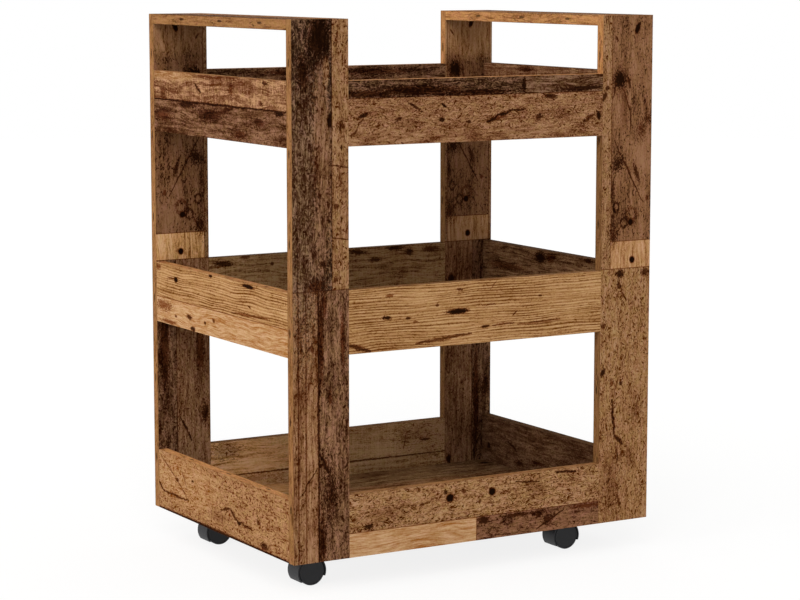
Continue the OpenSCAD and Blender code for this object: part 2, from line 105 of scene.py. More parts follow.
# What a plank's print is made of: its three tones, then its patterns' sizes in mm and their shares.
Print = namedtuple(
    "Print",
    "dark middle light grit grits fibres streak streaks run mottle mottles speck specks saw rings wander",
    defaults=(0.0, 0.0, 7.0))
TONES = ("Dark", "Middle", "Light")
SHARES = ("Grits", "Fibres", "Streaks", "Mottles", "Specks", "Saw", "Rings")
SIZES = ("Grit", "Streak", "Run", "Mottle", "Speck", "Wander", "Seed")
PRINTS = {
    "near black oak": Print("1E0E05", "382518", "826049", 2.0, 0.75, 0.3, 4, 0.15, 10, 13, 0.55, 2.4, 0.5),
    "dark brown oak": Print("280D01", "4C301D", "88694F", 1.9, 0.7, 0.3, 4, 0.2, 10, 9, 0.45, 2.4, 0.6),
    "streaked oak": Print("341202", "6E4A30", "946E53", 1.8, 0.5, 0.4, 4, 0.4, 14, 14, 0.45, 2.4, 0.6),
    "tan oak": Print("4A2006", "8D6542", "A5805E", 1.7, 0.58, 0.35, 5, 0.3, 12, 15, 0.35, 1.9, 1.8),
    "red brown oak": Print("482006", "845B3C", "A47D5C", 1.8, 0.43, 0.35, 4, 0.4, 16, 30, 0.45, 2.2, 0.5),
    "dark streaky oak": Print("2C1002", "684730", "946D51", 1.9, 0.6, 0.4, 4.5, 0.4, 12, 16, 0.45, 2.2, 0.6),
    "red board": Print("2E1204", "7E5638", "91694D", 1.8, 0.45, 0.4, 6, 0.3, 14, 30, 0.45, 2.2, 0.6),
    "sawn end": Print("693A11", "A87B51", "BC926E", 1.6, 0.4, 0.5, 4, 0.4, 18, 24, 0.3, 2.0, 0.0),
    "speckled oak": Print("4C2104", "946A44", "A6825F", 1.8, 0.65, 0.25, 4, 0.2, 8, 14, 0.25, 2.0, 1.8),
    # A paler copy of the sawn end: painted light, for sawn ends where the light falls strongly.
    "pale sawn end": Print("7A4A1C", "CC9962", "DEB489", 1.6, 0.4, 0.5, 4, 0.4, 18, 24, 0.3, 2.0, 0.0),
    "golden pine": Print("60330D", "9F7448", "BC9469", 1.6, 0.2, 0.3, 2.4, 0.35, 70, 45, 0.25, 2.0, 0.3, 0.0,
                         0.42, 2.5),
    "pale pine": Print("8A5117", "A97D53", "C19B74", 1.6, 0.25, 0.65, 3, 0.27, 40, 35, 0.3, 2.0, 0.0),
    "dark red oak": Print("321204", "754F36", "8E644A", 1.9, 0.55, 0.35, 5, 0.3, 10, 11, 0.42, 2.3, 0.6),
    "chipped oak": Print("441A04", "855B3B", "A8815F", 1.6, 0.78, 0.3, 5, 0.2, 6, 14, 0.33, 2.0, 1.8),
    "black rail oak": Print("1E0A02", "432A19", "805D45", 1.8, 0.8, 0.5, 3.5, 0.35, 10, 14, 0.5, 2.1, 0.5),
    "brown rail oak": Print("2C1002", "5A3B25", "84634C", 1.7, 0.65, 0.6, 3.5, 0.45, 14, 18, 0.4, 2.1, 0.4),
    "sawn tan oak": Print("4C2109", "754D32", "B08561", 1.8, 0.45, 0.35, 4.5, 0.42, 24, 16, 0.4, 2.2, 0.35,
                          0.22),
    "burnt red oak": Print("301304", "5F3D26", "8A644B", 1.9, 0.55, 0.4, 4.5, 0.45, 14, 12, 0.45, 2.3, 0.5),
    "cork oak": Print("5C280A", "966D47", "AE865F", 2.6, 0.6, 0.25, 4, 0.2, 6, 16, 0.3, 2.9, 2.2),
    "olive oak": Print("50290A", "97734B", "AE8F67", 1.6, 0.4, 0.4, 3, 0.5, 30, 22, 0.4, 2.2, 0.3, 0.15),
    "green tan oak": Print("784819", "BA9468", "CCA981", 1.6, 0.45, 0.3, 4, 0.2, 24, 50, 0.5, 2.2, 0.1, 0.2),
    "smooth dark oak": Print("2A1004", "4C301D", "755740", 1.8, 0.42, 0.3, 4, 0.22, 14, 14, 0.3, 2.2, 0.3),
    "flecked oak": Print("4A2004", "966C46", "AC8763", 1.7, 0.82, 0.35, 4, 0.2, 8, 14, 0.2, 1.8, 2.2),
    "umber oak": Print("2E1304", "66472D", "8A694B", 1.7, 0.4, 0.45, 4, 0.5, 20, 18, 0.5, 2.2, 0.4),
    "handle oak": Print("502509", "8F623D", "AD815B", 1.7, 0.4, 0.4, 5, 0.5, 20, 22, 0.4, 2.2, 0.5),
}
# One printed plank: its print, and its limits along and across the board in mm.
Plank = namedtuple("Plank", "print along across", defaults=((BELOW, ABOVE), (BELOW, ABOVE)))
# A dark mark of the print: its middle and half size in mm, how much of it is black, how ragged it is,
# its turn in degrees, and 1 if it is a ring.
Spot = namedtuple("Spot", "along across long wide depth ragged turn hollow", defaults=(0.87, 0.9, 0, 0.0))
# A dark line from one place to another, in mm, with its width, its darkness and how far it strays.
Crack = namedtuple("Crack", "start end width depth wander", defaults=(0.8, 4.0))
# A soft patch of another print over the planks. Some patches are painted light and shade.
Patch = namedtuple("Patch", "print spot")

# How dark the seams between planks are.
SEAM = 0.55
# On a post, 0 along is its foot and 0 across its left edge. Its printed planks butt at the first of these
# heights, and the sawn end that shows there reaches up to the second.
BUTT, BLOCK_TOP = 379.5, 420.0


def red_board_marks(seam, side):
    """The knots, cracks and nail of the reddish plank, on the side of its seam that is given as 1 or -1."""
    marks = [
        Spot(731, 44.5, 9, 4, 0.98, 0.3, 22), Spot(657, 14, 14, 12, 0.98), Spot(655, 16, 24, 13, 0.3, 1.4),
        Spot(618, 22, 34, 6, 0.28, 1.3, 3), Spot(600, 33.5, 17, 1.3, 0.87, 0.6),
        Spot(608, 62, 24, 3, 0.28, 1.2), Spot(583, 53, 11, 7, 0.75, 2.4),
        Crack((568, 4.5), (476, 57.5), 1.4, 0.85, 1.5), Spot(520, 45, 15, 3.5, 0.86, 1.2, -20),
        Spot(534, 12, 13, 9, 0.93, 2.0, 40), Spot(495, 3, 18, 3, 0.86, 1.8), Spot(430, 4, 14, 7, 0.83, 2.2),
        Spot(447.5, 35.5, 5, 5, 0.99, 0.15), Spot(447, 23.5, 7, 6, 0.87, 0.55, 0, 1.0),
        Spot(459, 37, 9, 9, 0.6, 0.8, 0, 1.0), Spot(470, 9, 7, 5, 0.85, 0.5, 0, 1.0),
        Crack((444, 18), (424, 6), 1.8, 0.79, 3), Spot(391.5, 39, 5.5, 4.8, 1.0, 0.2),
        Crack((664, 27), (644, 32), 2.4, 0.9, 4), Crack((646, 20), (612, 31), 1.6, 0.8, 3),
        Crack((654, 7), (630, 2), 2.2, 0.85, 4), Spot(716, 8, 5, 1.6, 0.8, 0.7, -35),
        Spot(600, 65, 7, 4, 0.75, 2.0), Spot(482, 65, 4, 3, 0.6),
    ]
    placed = []
    for mark in marks:
        if isinstance(mark, Spot):
            placed.append(mark._replace(across=seam + side * mark.across, turn=side * mark.turn))
        else:
            start, end = ((along, seam + side * across) for along, across in (mark.start, mark.end))
            placed.append(mark._replace(start=start, end=end))
    return placed


# What each board's film shows: its planks, and the patches, spots and cracks over them, in order. Some
# patches are painted light and shade, as noted at their boards.
LAYOUT = {
    "post_front_left": [
        Plank("near black oak", (BUTT, ABOVE), (BELOW, 62)), Plank("tan oak", (BUTT, ABOVE), (62, ABOVE)),
        Plank("red brown oak", (BELOW, BUTT), (BELOW, 39)),
        Plank("dark streaky oak", (BELOW, BUTT), (39, ABOVE)),
        Patch("dark brown oak", Spot(500, 18, 190, 26, 1.0)),
        Patch("streaked oak", Spot(560, 48, 120, 14, 1.0, 0.7, -2)),
        Patch("tan oak", Spot(680, 53, 22, 5, 0.8, 0.6)),
        Patch("dark streaky oak", Spot(450, 44, 70, 14, 0.7)), Spot(725, 42, 35, 19, 0.92, 1.0),
        Spot(676, 17, 26, 9, 0.85, 1.1), Spot(612, 58.5, 11, 3.5, 0.94, 0.7),
        Spot(416, 47, 5, 6, 0.87, 1.1), Spot(386, 36, 10, 14, 0.7, 1.1), Spot(394, 67, 4, 3, 0.8, 0.9, 30),
        Spot(476, 76.5, 4, 1.6, 0.85, 0.6), Spot(495, 68, 4, 4, 0.8), Spot(575, 77, 4, 1.6, 0.9, 0.5),
        Spot(606, 75, 8, 5, 0.75, 1.3), Crack((552, 62), (547, 90), 1.3, 0.79, 1),
        Crack((452, 62), (448, 90), 1.3, 0.79, 1), Crack((380, 39.6), (-10, 39.6), 2.1, 0.88, 0.8),
        Spot(28, 45, 55, 5, 0.75, 1.8), Spot(92, 58, 36, 9, 0.85, 2.2), Spot(310, 44, 70, 4, 0.7, 0.8),
        Spot(310, 78, 40, 4, 0.6), Spot(232, 58, 12, 3, 0.7, 1.0), Crack((133, 37), (94, 10), 1.4, 0.87, 3),
        Crack((152, 41), (126, 55), 3.4, 0.94, 3), Spot(360, 49, 22, 4, 0.7, 1.1),
        Crack((310, 33), (298, 22), 1.4, 0.79, 2), Spot(300, 30, 5, 3, 0.69, 0.8),
        Spot(150, 20, 300, 1.3, 0.45, 0.6), Spot(180, 8, 260, 1.2, 0.52, 0.6),
    ],
    "post_front_right": [
        Plank("tan oak", (BUTT, ABOVE), (BELOW, 16.5)),
        Plank("red board", (BLOCK_TOP, ABOVE), (16.5, ABOVE)),
        Plank("sawn end", (BUTT, BLOCK_TOP), (16.5, ABOVE)), Plank("speckled oak", (BELOW, BUTT)),
        Crack((12, 38), (62, 30), 1.4, 0.75, 6), Crack((20, 14), (36, 32), 1.4, 0.75, 4),
        Crack((84, 35), (112, 30), 1.8, 0.8, 5), *red_board_marks(16.5, 1),
        Spot(633, 3, 7, 4, 0.87, 0.7, 25), Spot(645, 8, 4, 3, 0.87, 0.8),
        Spot(371.5, 34, 6, 7.5, 0.94, 0.8), Spot(371.5, 79, 6, 7),
        Crack((117, 40), (131, 28), 4.0, 0.91, 2), Crack((130, 28), (184, 22), 3.2, 0.9, 3),
        Spot(226, 5, 7, 4, 0.94, 0.8, 30), Spot(208, 38, 2.5, 3.5, 0.9, 0.7, -30), Spot(210, 22, 5, 3, 0.6),
        Spot(60, 22, 50, 14, 0.32, 2.8), Spot(62, 17, 5, 1.6, 0.8, 0.8, 25), Spot(98, 53, 12, 7, 0.32, 2.2),
        Spot(165, 64, 14, 9, 0.32, 2.2), Spot(295, 5, 4, 4, 0.79, 0.8),
        Crack((363, 31), (330, 46), 1.8, 0.75, 4), Spot(354, 33, 5, 3.5, 0.85, 0.9, -30),
    ],
    "post_rear_left": [
        Plank("red board", (BLOCK_TOP, ABOVE), (BELOW, 81)),
        Plank("pale sawn end", (BUTT, BLOCK_TOP), (BELOW, 81)),
        Plank("tan oak", (BUTT, ABOVE), (81, ABOVE)), Plank("dark streaky oak", (BELOW, BUTT), (BELOW, 32)),
        Plank("red brown oak", (BELOW, BUTT), (32, ABOVE)),
        # The patch of sawn end at the top, under the handle board, is painted light.
        Patch("sawn end", Spot(714, 36, 24, 60, 0.55, 0.6)), *red_board_marks(80, -1),
        Patch("dark brown oak", Spot(190, 44, 150, 50, 0.4, 0.8)), Spot(250, 12, 70, 8, 0.79),
        Crack((137, 37), (98, 56), 2.1, 0.94, 2), Spot(140, 79, 16, 6, 0.87, 1.0),
        Spot(240, 72, 40, 6, 0.58), Spot(330, 55, 30, 10, 0.58),
    ],
    "post_rear_right": [
        Plank("tan oak", (BUTT, ABOVE), (BELOW, 4)), Plank("red board", (BLOCK_TOP, ABOVE), (4, 83)),
        Plank("sawn end", (BUTT, BLOCK_TOP), (4, 83)), Plank("tan oak", (BUTT, ABOVE), (83, ABOVE)),
        Plank("red brown oak", (BELOW, BUTT), (BELOW, 52)),
        Plank("dark streaky oak", (BELOW, BUTT), (52, ABOVE)),
        # The patch of sawn end at the top, under the handle board, is painted light.
        Patch("sawn end", Spot(714, 52, 40, 70, 1.0, 0.6)), *red_board_marks(4, 1),
        Spot(136, 78, 18, 7, 0.87, 1.0), Spot(22, 8, 8, 5, 0.94, 0.7),
        Patch("dark brown oak", Spot(120, 44, 190, 60, 0.3, 0.8)), Spot(319, 12, 8, 6, 0.94, 0.7),
        Spot(120, 60, 90, 5, 0.69),
    ],
    "top_front_rail": [
        Plank("black rail oak", (BELOW, 288), (65, ABOVE)),
        Plank("brown rail oak", (288, ABOVE), (65, ABOVE)), Plank("chipped oak", across=(BELOW, 65)),
        Patch("red brown oak", Spot(180, 4, 260, 17, 0.85, 0.8)), Spot(115, 74, 70, 7, 0.79, 1.0),
        Spot(30, 71, 60, 5.5, 0.8, 1.1), Spot(210, 69, 60, 3.5, 0.8), Spot(385, 70, 45, 3.5, 0.91, 0.9, 2),
        Spot(287, 77, 3.5, 11, 0.94, 0.8), Crack((225, 24), (244, 37), 4.2, 0.96, 4),
        Crack((243, 36), (264, 41), 3.6, 0.96, 3), Crack((262, 41), (290, 43), 1.9, 0.9, 3),
        Spot(333, 60, 12, 4, 0.87, 0.9, -12), Spot(417, 30, 4, 7, 0.98, 0.6, 15),
        Spot(398, 26, 14, 3, 0.79, 0.9, 30), Spot(153, 52, 5, 2, 0.98, 0.5, -35),
        Spot(24, 42, 9, 3, 0.94, 0.9, 20), Spot(80, 35, 6, 3), Spot(105, 52, 14, 2, 0.87, 0.8, -30),
        Spot(150, 32, 5, 3, 0.94, 0.8), Spot(194, 28, 5, 2.5, 0.87, 0.8), Spot(203, 8, 12, 7, 0.4, 1.4),
        Spot(313, 31, 5, 4, 0.87, 0.9, 40), Spot(95, 30, 22, 7, 0.25, 1.2), Spot(350, 35, 20, 9, 0.25, 1.2),
        Crack((28, 44), (4, 12), 1.5, 0.79, 4), Spot(240, 31, 16, 3, 0.69, 1.1, 10),
    ],
    "middle_front_rail": [
        Plank("golden pine"), Spot(177, 48, 19, 4.2, 0.99, 0.35, 1), Spot(166, 48, 9, 1.2, 0.98, 0.3, 4),
        Spot(60, 47, 7.5, 2.8, 0.96, 0.7, -8), Spot(95, 44, 4.5, 2, 0.87, 0.5),
        Spot(180, 79, 5, 1.8, 0.79, 0.5, -10), Spot(143, 59, 3, 2, 0.79, 0.5),
        Spot(317, 61, 3, 1.6, 0.79, 0.5), Spot(223, 23, 7, 2, 0.91, 0.5, 4),
        Crack((236, 24), (272, 25), 2.3, 0.5, 1.5), Crack((278, 22), (352, 24), 2.3, 0.45, 1.5),
        Crack((108, 7), (200, 15), 2.9, 0.83, 1.5), Crack((0, 13), (34, 2), 3.9, 0.87, 1.5),
        Spot(65, 78, 6, 3, 0.52), Spot(274, 39, 5, 1.2, 0.79, 0.5, 40),
        Spot(230, 54, 12, 1.2, 0.58, 0.7, 3), Spot(107, 38, 4, 1.2, 0.69, 0.5),
        Crack((231, 75), (243, 88), 1, 0.52, 1),
    ],
    "bottom_front_rail": [
        Plank("flecked oak", across=(34.5, ABOVE)), Plank("pale pine", (BELOW, 210), (BELOW, 34.5)),
        Plank("dark red oak", (210, ABOVE), (BELOW, 34.5)), Spot(165, 67.5, 7, 6.5, 1.0, 0.2),
        Spot(236.5, 69, 6.3, 6, 1.0, 0.1), Spot(158, 77, 4, 3, 0.94, 0.8), Spot(32, 41, 8, 4, 0.94, 0.8),
        Crack((348, 86), (382, 84), 2.9, 0.94, 1), Crack((278, 79), (318, 75), 1.8, 0.87, 2),
        Spot(238, 10, 7, 6, 0.85, 0.85, 0, 1.0), Spot(263, 23, 7, 5, 0.9, 0.8, 0, 1.0),
        Spot(333, 17, 8, 8, 0.85, 1.5), Crack((362, 29), (314, 5), 1.8, 0.91, 1.5),
        Spot(318, 27, 9, 4, 0.85, 1.2), Spot(222, 29, 10, 6, 0.91), Spot(280, 30, 24, 3, 0.87, 1.0),
        Spot(400, 30, 30, 4, 0.69, 1.0), Spot(118, 63, 4, 2, 0.79, 0.8), Spot(215, 57, 3, 3, 0.79),
        Spot(188, 75, 3, 4, 0.79, 0.8, 30), Spot(60, 55, 40, 14, 0.25, 1.3, 10),
        Spot(312, 66, 16, 12, 0.25, 1.3),
    ],
    # On a side rail, 0 along is its front end.
    "top_left_rail": [
        Plank("sawn tan oak", across=(48.5, ABOVE)), Plank("burnt red oak", across=(BELOW, 48.5)),
        Patch("pale pine", Spot(365, 86, 80, 9, 0.6, 0.5)), Crack((-5, 48.4), (425, 48.6), 2.1, 0.94, 1.2),
        Crack((282, 76), (262, 64), 2.6, 0.94, 3), Spot(167, 72, 9, 9, 0.52, 1.0),
        Spot(388, 60, 9, 8, 0.45, 1.0), Spot(232, 33, 38, 10, 0.8, 1.2, 2), Spot(307, 44, 32, 4, 0.87, 1.0),
        Crack((215, 35), (160, 47), 4.2, 0.79, 3), Spot(390, 25, 30, 9, 0.69, 1.1),
        Spot(80, 30, 16, 5, 0.79, 1.0), Spot(62, 85, 8, 3), Spot(74, 57, 6, 3, 0.79, 0.9, 20),
        Spot(140, 10, 20, 6, 0.69, 1.1), Spot(20, 46, 14, 4, 0.94, 0.8),
    ],
    "middle_left_rail": [
        Plank("golden pine", across=(39, ABOVE)), Plank("pale pine", across=(BELOW, 39)),
        Spot(353, 70, 6.5, 4.5, 0.99, 0.3), Spot(366, 70.5, 12, 1.5, 0.69, 0.6),
        Spot(237, 88, 6, 2.2, 0.94, 0.4), Spot(118, 86, 19, 3, 0.98, 0.4, 1),
        Spot(394, 27, 26, 7, 0.55, 1.3), Spot(308, 19, 9, 3.5, 0.87, 0.8, 5),
        Spot(256, 17, 3.5, 2.6, 0.91, 0.5, 15), Spot(228, 24, 3.5, 3.5, 0.79, 0.8),
        Spot(297, 3, 8, 3.5, 0.94, 0.6), Spot(114, 57, 5, 1.5, 0.79, 0.5, 15),
        Crack((170, 43), (60, 47), 2.1, 0.64, 2), Spot(380, 4, 24, 3, 0.64), Spot(354, 15, 4, 2, 0.79, 0.7),
        Spot(415, 84, 10, 5, 0.69, 1.0),
    ],
    "bottom_left_rail": [
        Plank("cork oak"), Patch("pale pine", Spot(330, 55, 110, 40, 0.5, 0.6)),
        Crack((424, 41), (402, 30), 3.0, 0.86, 3), Crack((402, 30), (318, 27), 2.5, 0.84, 4),
        Crack((208, 37), (181, 42), 2.8, 0.84, 4), Crack((182, 42), (154, 28), 3.4, 0.88, 4),
        Crack((155, 28), (115, 26), 2.5, 0.84, 4), Crack((415, 84), (356, 54), 1.4, 0.69, 2),
        Crack((356, 54), (318, 28), 1.3, 0.64, 2), Spot(356, 54, 6, 3, 0.79, 0.8),
        Crack((-5, 1.2), (425, 1.2), 3.4, 0.94, 0.4), Spot(74, 9, 12, 5, 0.87, 1.0),
        Spot(303, 61, 4, 2, 0.87, 0.7), Crack((342, 74), (322, 45), 1.2, 0.52, 2),
        Spot(92, 40, 5, 4, 0.79, 0.9, 30), Spot(152, 27, 6, 3, 0.94, 0.7),
        Crack((100, 60), (80, 30), 1.6, 0.69, 4), Spot(220, 25, 30, 8, 0.25, 1.2),
    ],
    "top_rear_rail": [
        Plank("dark streaky oak", across=(66, ABOVE)), Plank("streaked oak", across=(BELOW, 66)),
        Patch("black rail oak", Spot(310, 82, 110, 9, 0.75, 0.8)), Spot(300, 80, 70, 5, 0.45, 1.3),
        Spot(150, 82, 60, 5, 0.5, 1.3),
    ],
    "middle_rear_rail": [
        Plank("olive oak"), Spot(26, 80, 17, 4, 0.91, 0.9, -4), Spot(109, 75, 3, 3, 0.87, 0.7),
        Spot(293, 70, 12, 3.5), Spot(262, 84, 17, 4, 0.87, 1.0, -8), Spot(330, 87, 16, 4, 0.91),
        Spot(357, 79, 6, 6), Spot(398, 82, 16, 5, 0.79, 1.0), Spot(62, 88, 8, 3, 0.79),
    ],
    "bottom_rear_rail": [
        # Its film is paler towards the left end and darker towards the right: painted light from the open
        # left side, and painted shade, over its print.
        Plank("green tan oak"), Patch("pale sawn end", Spot(0, 62, 170, 40, 1.0, 0.6)),
        Patch("speckled oak", Spot(90, 16, 100, 24, 0.15, 0.5)),
        Patch("tan oak", Spot(405, 62, 70, 36, 0.65, 0.8)),
        Patch("olive oak", Spot(345, 16, 95, 26, 0.65, 0.5)),
        Patch("speckled oak", Spot(24, 76, 24, 14, 0.8, 1.2)), Crack((346, 46), (351, 70), 1.2, 0.7, 2),
        Crack((338, 61), (357, 57), 1.0, 0.6, 2), Spot(387, 59, 9, 2, 0.87, 0.6),
        Crack((-5, 36), (430, 36), 1.8, 0.87, 0.6), Spot(60, 28, 60, 5, 0.3, 1.8),
    ],
    "top_right_rail": [
        Plank("sawn tan oak", across=(48.5, ABOVE)), Plank("burnt red oak", across=(BELOW, 48.5)),
        Spot(300, 84, 20, 4, 0.79, 1.0), Spot(150, 80, 12, 4, 0.69, 1.0),
    ],
    "middle_right_rail": [
        Plank("umber oak"), Spot(253, 78, 15, 10, 0.98), Spot(225, 80, 12, 8, 0.58, 1.0),
        Spot(120, 86, 9, 4), Spot(350, 55, 60, 6, 0.45, 1.1),
    ],
    "bottom_right_rail": [
        Plank("smooth dark oak"), Patch("umber oak", Spot(240, 66, 60, 28, 0.35, 0.6)),
        Spot(400, 41, 5, 5, 0.94), Crack((342, 57), (318, 45), 2.6, 0.87, 3),
        Spot(310, 27, 12, 4, 0.79, 1.0), Spot(254, 36, 18, 3, 0.58, 1.0),
    ],
    # A shelf's planks run from left to right.
    "top_shelf": [
        Plank("burnt red oak", across=(BELOW, 96)), Plank("tan oak", (BELOW, 330), (96, 204)),
        Plank("golden pine", (330, ABOVE), (96, 204)), Plank("dark brown oak", across=(204, 318)),
        Plank("speckled oak", across=(318, ABOVE)), Spot(420, 150, 16, 5, 0.94, 0.6),
        Spot(120, 262, 9, 8, 0.98, 0.3), Crack((60, 370), (190, 352), 2.9, 0.87, 6), Spot(480, 50, 14, 7),
    ],
    "middle_shelf": [
        Plank("red brown oak", across=(BELOW, 88)), Plank("speckled oak", (BELOW, 260), (88, 196)),
        Plank("pale pine", (260, ABOVE), (88, 196)), Plank("dark streaky oak", across=(196, 300)),
        Plank("golden pine", across=(300, ABOVE)), Spot(150, 40, 18, 5, 0.94, 0.6),
        Spot(300, 360, 22, 5, 0.98, 0.5), Spot(500, 240, 10, 9, 0.98, 0.3),
        Crack((80, 150), (200, 130), 2.9, 0.87, 6),
    ],
    "bottom_shelf": [
        Plank("cork oak", across=(BELOW, 172)), Plank("umber oak", across=(172, ABOVE)),
        # These patches are painted light and shade over the printed planks: paler where light falls on the
        # shelf, darker where the middle tray shades it.
        Patch("olive oak", Spot(420, 350, 320, 130, 0.5, 0.3)),
        Patch("pale sawn end", Spot(152, 400, 56, 60, 1.0, 0.5)),
        Patch("handle oak", Spot(420, 298, 240, 32, 0.7, 0.5)),
        Patch("handle oak", Spot(290, 308, 55, 18, 0.5, 0.5)),
        Patch("dark brown oak", Spot(530, 300, 80, 150, 0.5, 0.4)), Spot(548, 300, 8, 6, 0.94, 0.7),
        Spot(556, 392, 9, 6, 0.94, 0.7), Spot(350, 400, 40, 10, 0.3, 1.1),
        Crack((60, 120), (190, 96), 2.6, 0.87, 6), Spot(260, 60, 7, 6, 0.98, 0.3),
    ],
    "handle_board_left": [
        Plank("handle oak", across=(44, ABOVE)), Plank("burnt red oak", across=(BELOW, 44)),
        Spot(110, 66, 14, 4, 0.94, 0.6), Spot(300, 20, 10, 8, 0.94, 0.8),
        Crack((200, 70), (290, 62), 2.1, 0.79, 4),
    ],
    "handle_board_right": [
        Plank("burnt red oak", across=(52, ABOVE)), Plank("handle oak", across=(BELOW, 52)),
        Spot(330, 26, 14, 4, 0.94, 0.6), Spot(90, 70, 9, 7, 0.94, 0.8),
        Crack((240, 30), (150, 22), 2.1, 0.79, 4),
    ],
}
# The back of a board carries the same film, moved on by this much, and mirrored.
BACK_SHIFT = 137.0
# Each plank is cut elsewhere in the depth of the pattern, so that no two are alike: each board at one of so
# many places, its next plank or patch a step further, and its back and its edge band at steps of their own.
BOARD_PLACES, BOARD_STEP, PLANK_STEP, BACK_STEP, BAND_STEP = 97, 1.7, 3.1, 9.3, 51.0
# The knots of the edge band repeat once for each turn of its printing roller.
BAND_REPEAT = 123.0
# How bright each board's edge band is drawn, where it isn't 1. This is painted light and shade: bands in
# shade inside the cart are darker, and lit bands and arrises are paler, as a painted highlight.
BAND_SHARES = {
    "post_front_left": 0.76, "post_front_right": 0.62, "post_rear_left": 0.82, "post_rear_right": 0.48,
    "handle_board_left": 0.81, "handle_board_right": 1.35, "top_front_rail": 1.7, "top_left_rail": 1.3,
    "top_right_rail": 0.55, "middle_front_rail": 0.76, "middle_rear_rail": 0.45, "middle_left_rail": 1.6,
    "middle_right_rail": 0.38, "bottom_rear_rail": 0.58, "bottom_left_rail": 1.75, "bottom_right_rail": 0.4,
}
# Above the top tray, 666 mm from their feet, the right posts' bands are paler by this much: painted light, as
# these parts lie out of the shade that falls lower down.
RAIL_TOP = 666.0
UPPER_SHARES = {"post_front_right": 2.1, "post_rear_right": 2.5}
# Softwood rings lie this far apart, in mm.
RING_GAP = 3.8
# What the greener and the redder places of old oak make of its colour.
GREENER, REDDER = (0.95, 1.01, 0.82), (1.05, 0.98, 1.13)
# Keeps what lies in a board's face, and drops the depth.
FLAT = (1.0, 1.0, 0.0)
# Between these lie most values of a noise.
NOISE_SPAN = {"From Min": 0.3, "From Max": 0.7}

# The place from which the photograph's view fits best, in metres, and how far it looks down and to the right.
CAMERA_PLACE = (-1.8784, -3.1764, 0.8731)
CAMERA_DOWN, CAMERA_RIGHT = 7.71, 30.64
SENSOR_WIDTH = 36.0
# Each soft light: how far left of straight ahead it stands, how high, and its share of the key.
SOFT_LIGHTS = {"soft_key": (35, 38, 1.0), "soft_side": (85, 12, 0.98)}
# How wide the soft lights look from the cart, in degrees.
SOFT_ANGLE = 36
FLOOR_RADIUS, FLOOR_SIDES = 9.0, 96
# How bright the floor's own white is to the camera, and its share. The rest is lit, and shows the shadow.
FLOOR_GLOW, GLOW_SHARE = 1.06, 0.8


def tint(name, description, code):
    """A colour that a user would change, with its default as an sRGB hex value."""
    return bpy.props.FloatVectorProperty(
        name=name, description=description, subtype="COLOR", default=linear(code), min=0, max=1)


def amount(name, description, default, least=0.0):
    """A size in mm, a share or a strength that a user would change."""
    return bpy.props.FloatProperty(name=name, description=description, default=default, min=least)


class PlankPrint(bpy.types.PropertyGroup):
    """One plank's print: three tones and the sizes of its figure."""
    dark: tint("Dark", "Colour of its knots, pores and stains", "4A2006")
    middle: tint("Middle", "Colour of most of the plank", "8D6542")
    light: tint("Light", "Colour of its palest fibres", "A5805E")
    grit: amount("Grit", "Size of its rough grit, in mm", 1.5, 0.2)
    grits: amount("Grits", "How much the grit shows", 0.5)
    fibres: amount("Fibres", "How much the fibres show", 0.4)
    streak: amount("Streak", "Spacing of the year rings, in mm", 4, 0.5)
    streaks: amount("Streaks", "How much the year rings show", 0.4)
    run: amount("Run", "Length of a streak over its width", 16, 1)
    mottle: amount("Mottle", "Size of the stains, in mm", 15, 1)
    mottles: amount("Mottles", "How much the stains show", 0.4)
    speck: amount("Speck", "Size of the worm specks, in mm", 2, 0.5)
    specks: amount("Specks", "How dark the worm specks are", 0.3)
    saw: amount("Saw marks", "How much the saw marks show", 0)
    rings: amount("Rings", "How much the softwood rings show", 0)
    wander: amount("Wander", "How far the grain strays, in mm", 7)


class CartFinish(bpy.types.PropertyGroup):
    """The sizes and colours of the cart's finish that a user would change."""
    prints: bpy.props.CollectionProperty(
        type=PlankPrint, name="Prints", description="The plank prints of the board film")
    arris: bpy.props.FloatProperty(
        name="Board arris", description="Radius that the edge band leaves on a board's arrises",
        default=0.5 * MM, unit="LENGTH")
    emboss: bpy.props.FloatProperty(
        name="Emboss", description="Depth of the film's embossed grain", default=0.12 * MM, unit="LENGTH")
    mark: tint("Mark", "Colour of nail holes and cracks in the print", "160903")
    stain: tint("Stain", "What the soft rims of the marks leave of the print's colour", "AC8870")
    band_dark: tint("Band, dark", "Dark streaks of the edge band", "6B4323")
    band_middle: tint("Band, middle", "Main colour of the edge band", "9A6B42")
    band_light: tint("Band, light", "Pale streaks of the edge band", "AC7D50")
    nylon: tint("Nylon", "Colour of the caster housings", "17181C")
    wheel: tint("Wheel", "Colour of the caster wheels", "101114")
    zinc: tint("Zinc", "Colour of the zinc plating", "B9BCBF")
    beech: tint("Beech", "Colour of the dowels", "D2AC7E")
    floor: tint("Floor", "Colour of the studio floor", "F2F1EE")
    dome: amount("Dome", "Strength of the even light from all round", 0.584)
    key: amount("Key", "Strength of the soft light from the front left, in watts per square metre", 1.35)
    lens: bpy.props.FloatProperty(
        name="Lens", description="Focal length of the camera, in mm", default=111.57, min=1,
        subtype="DISTANCE_CAMERA")


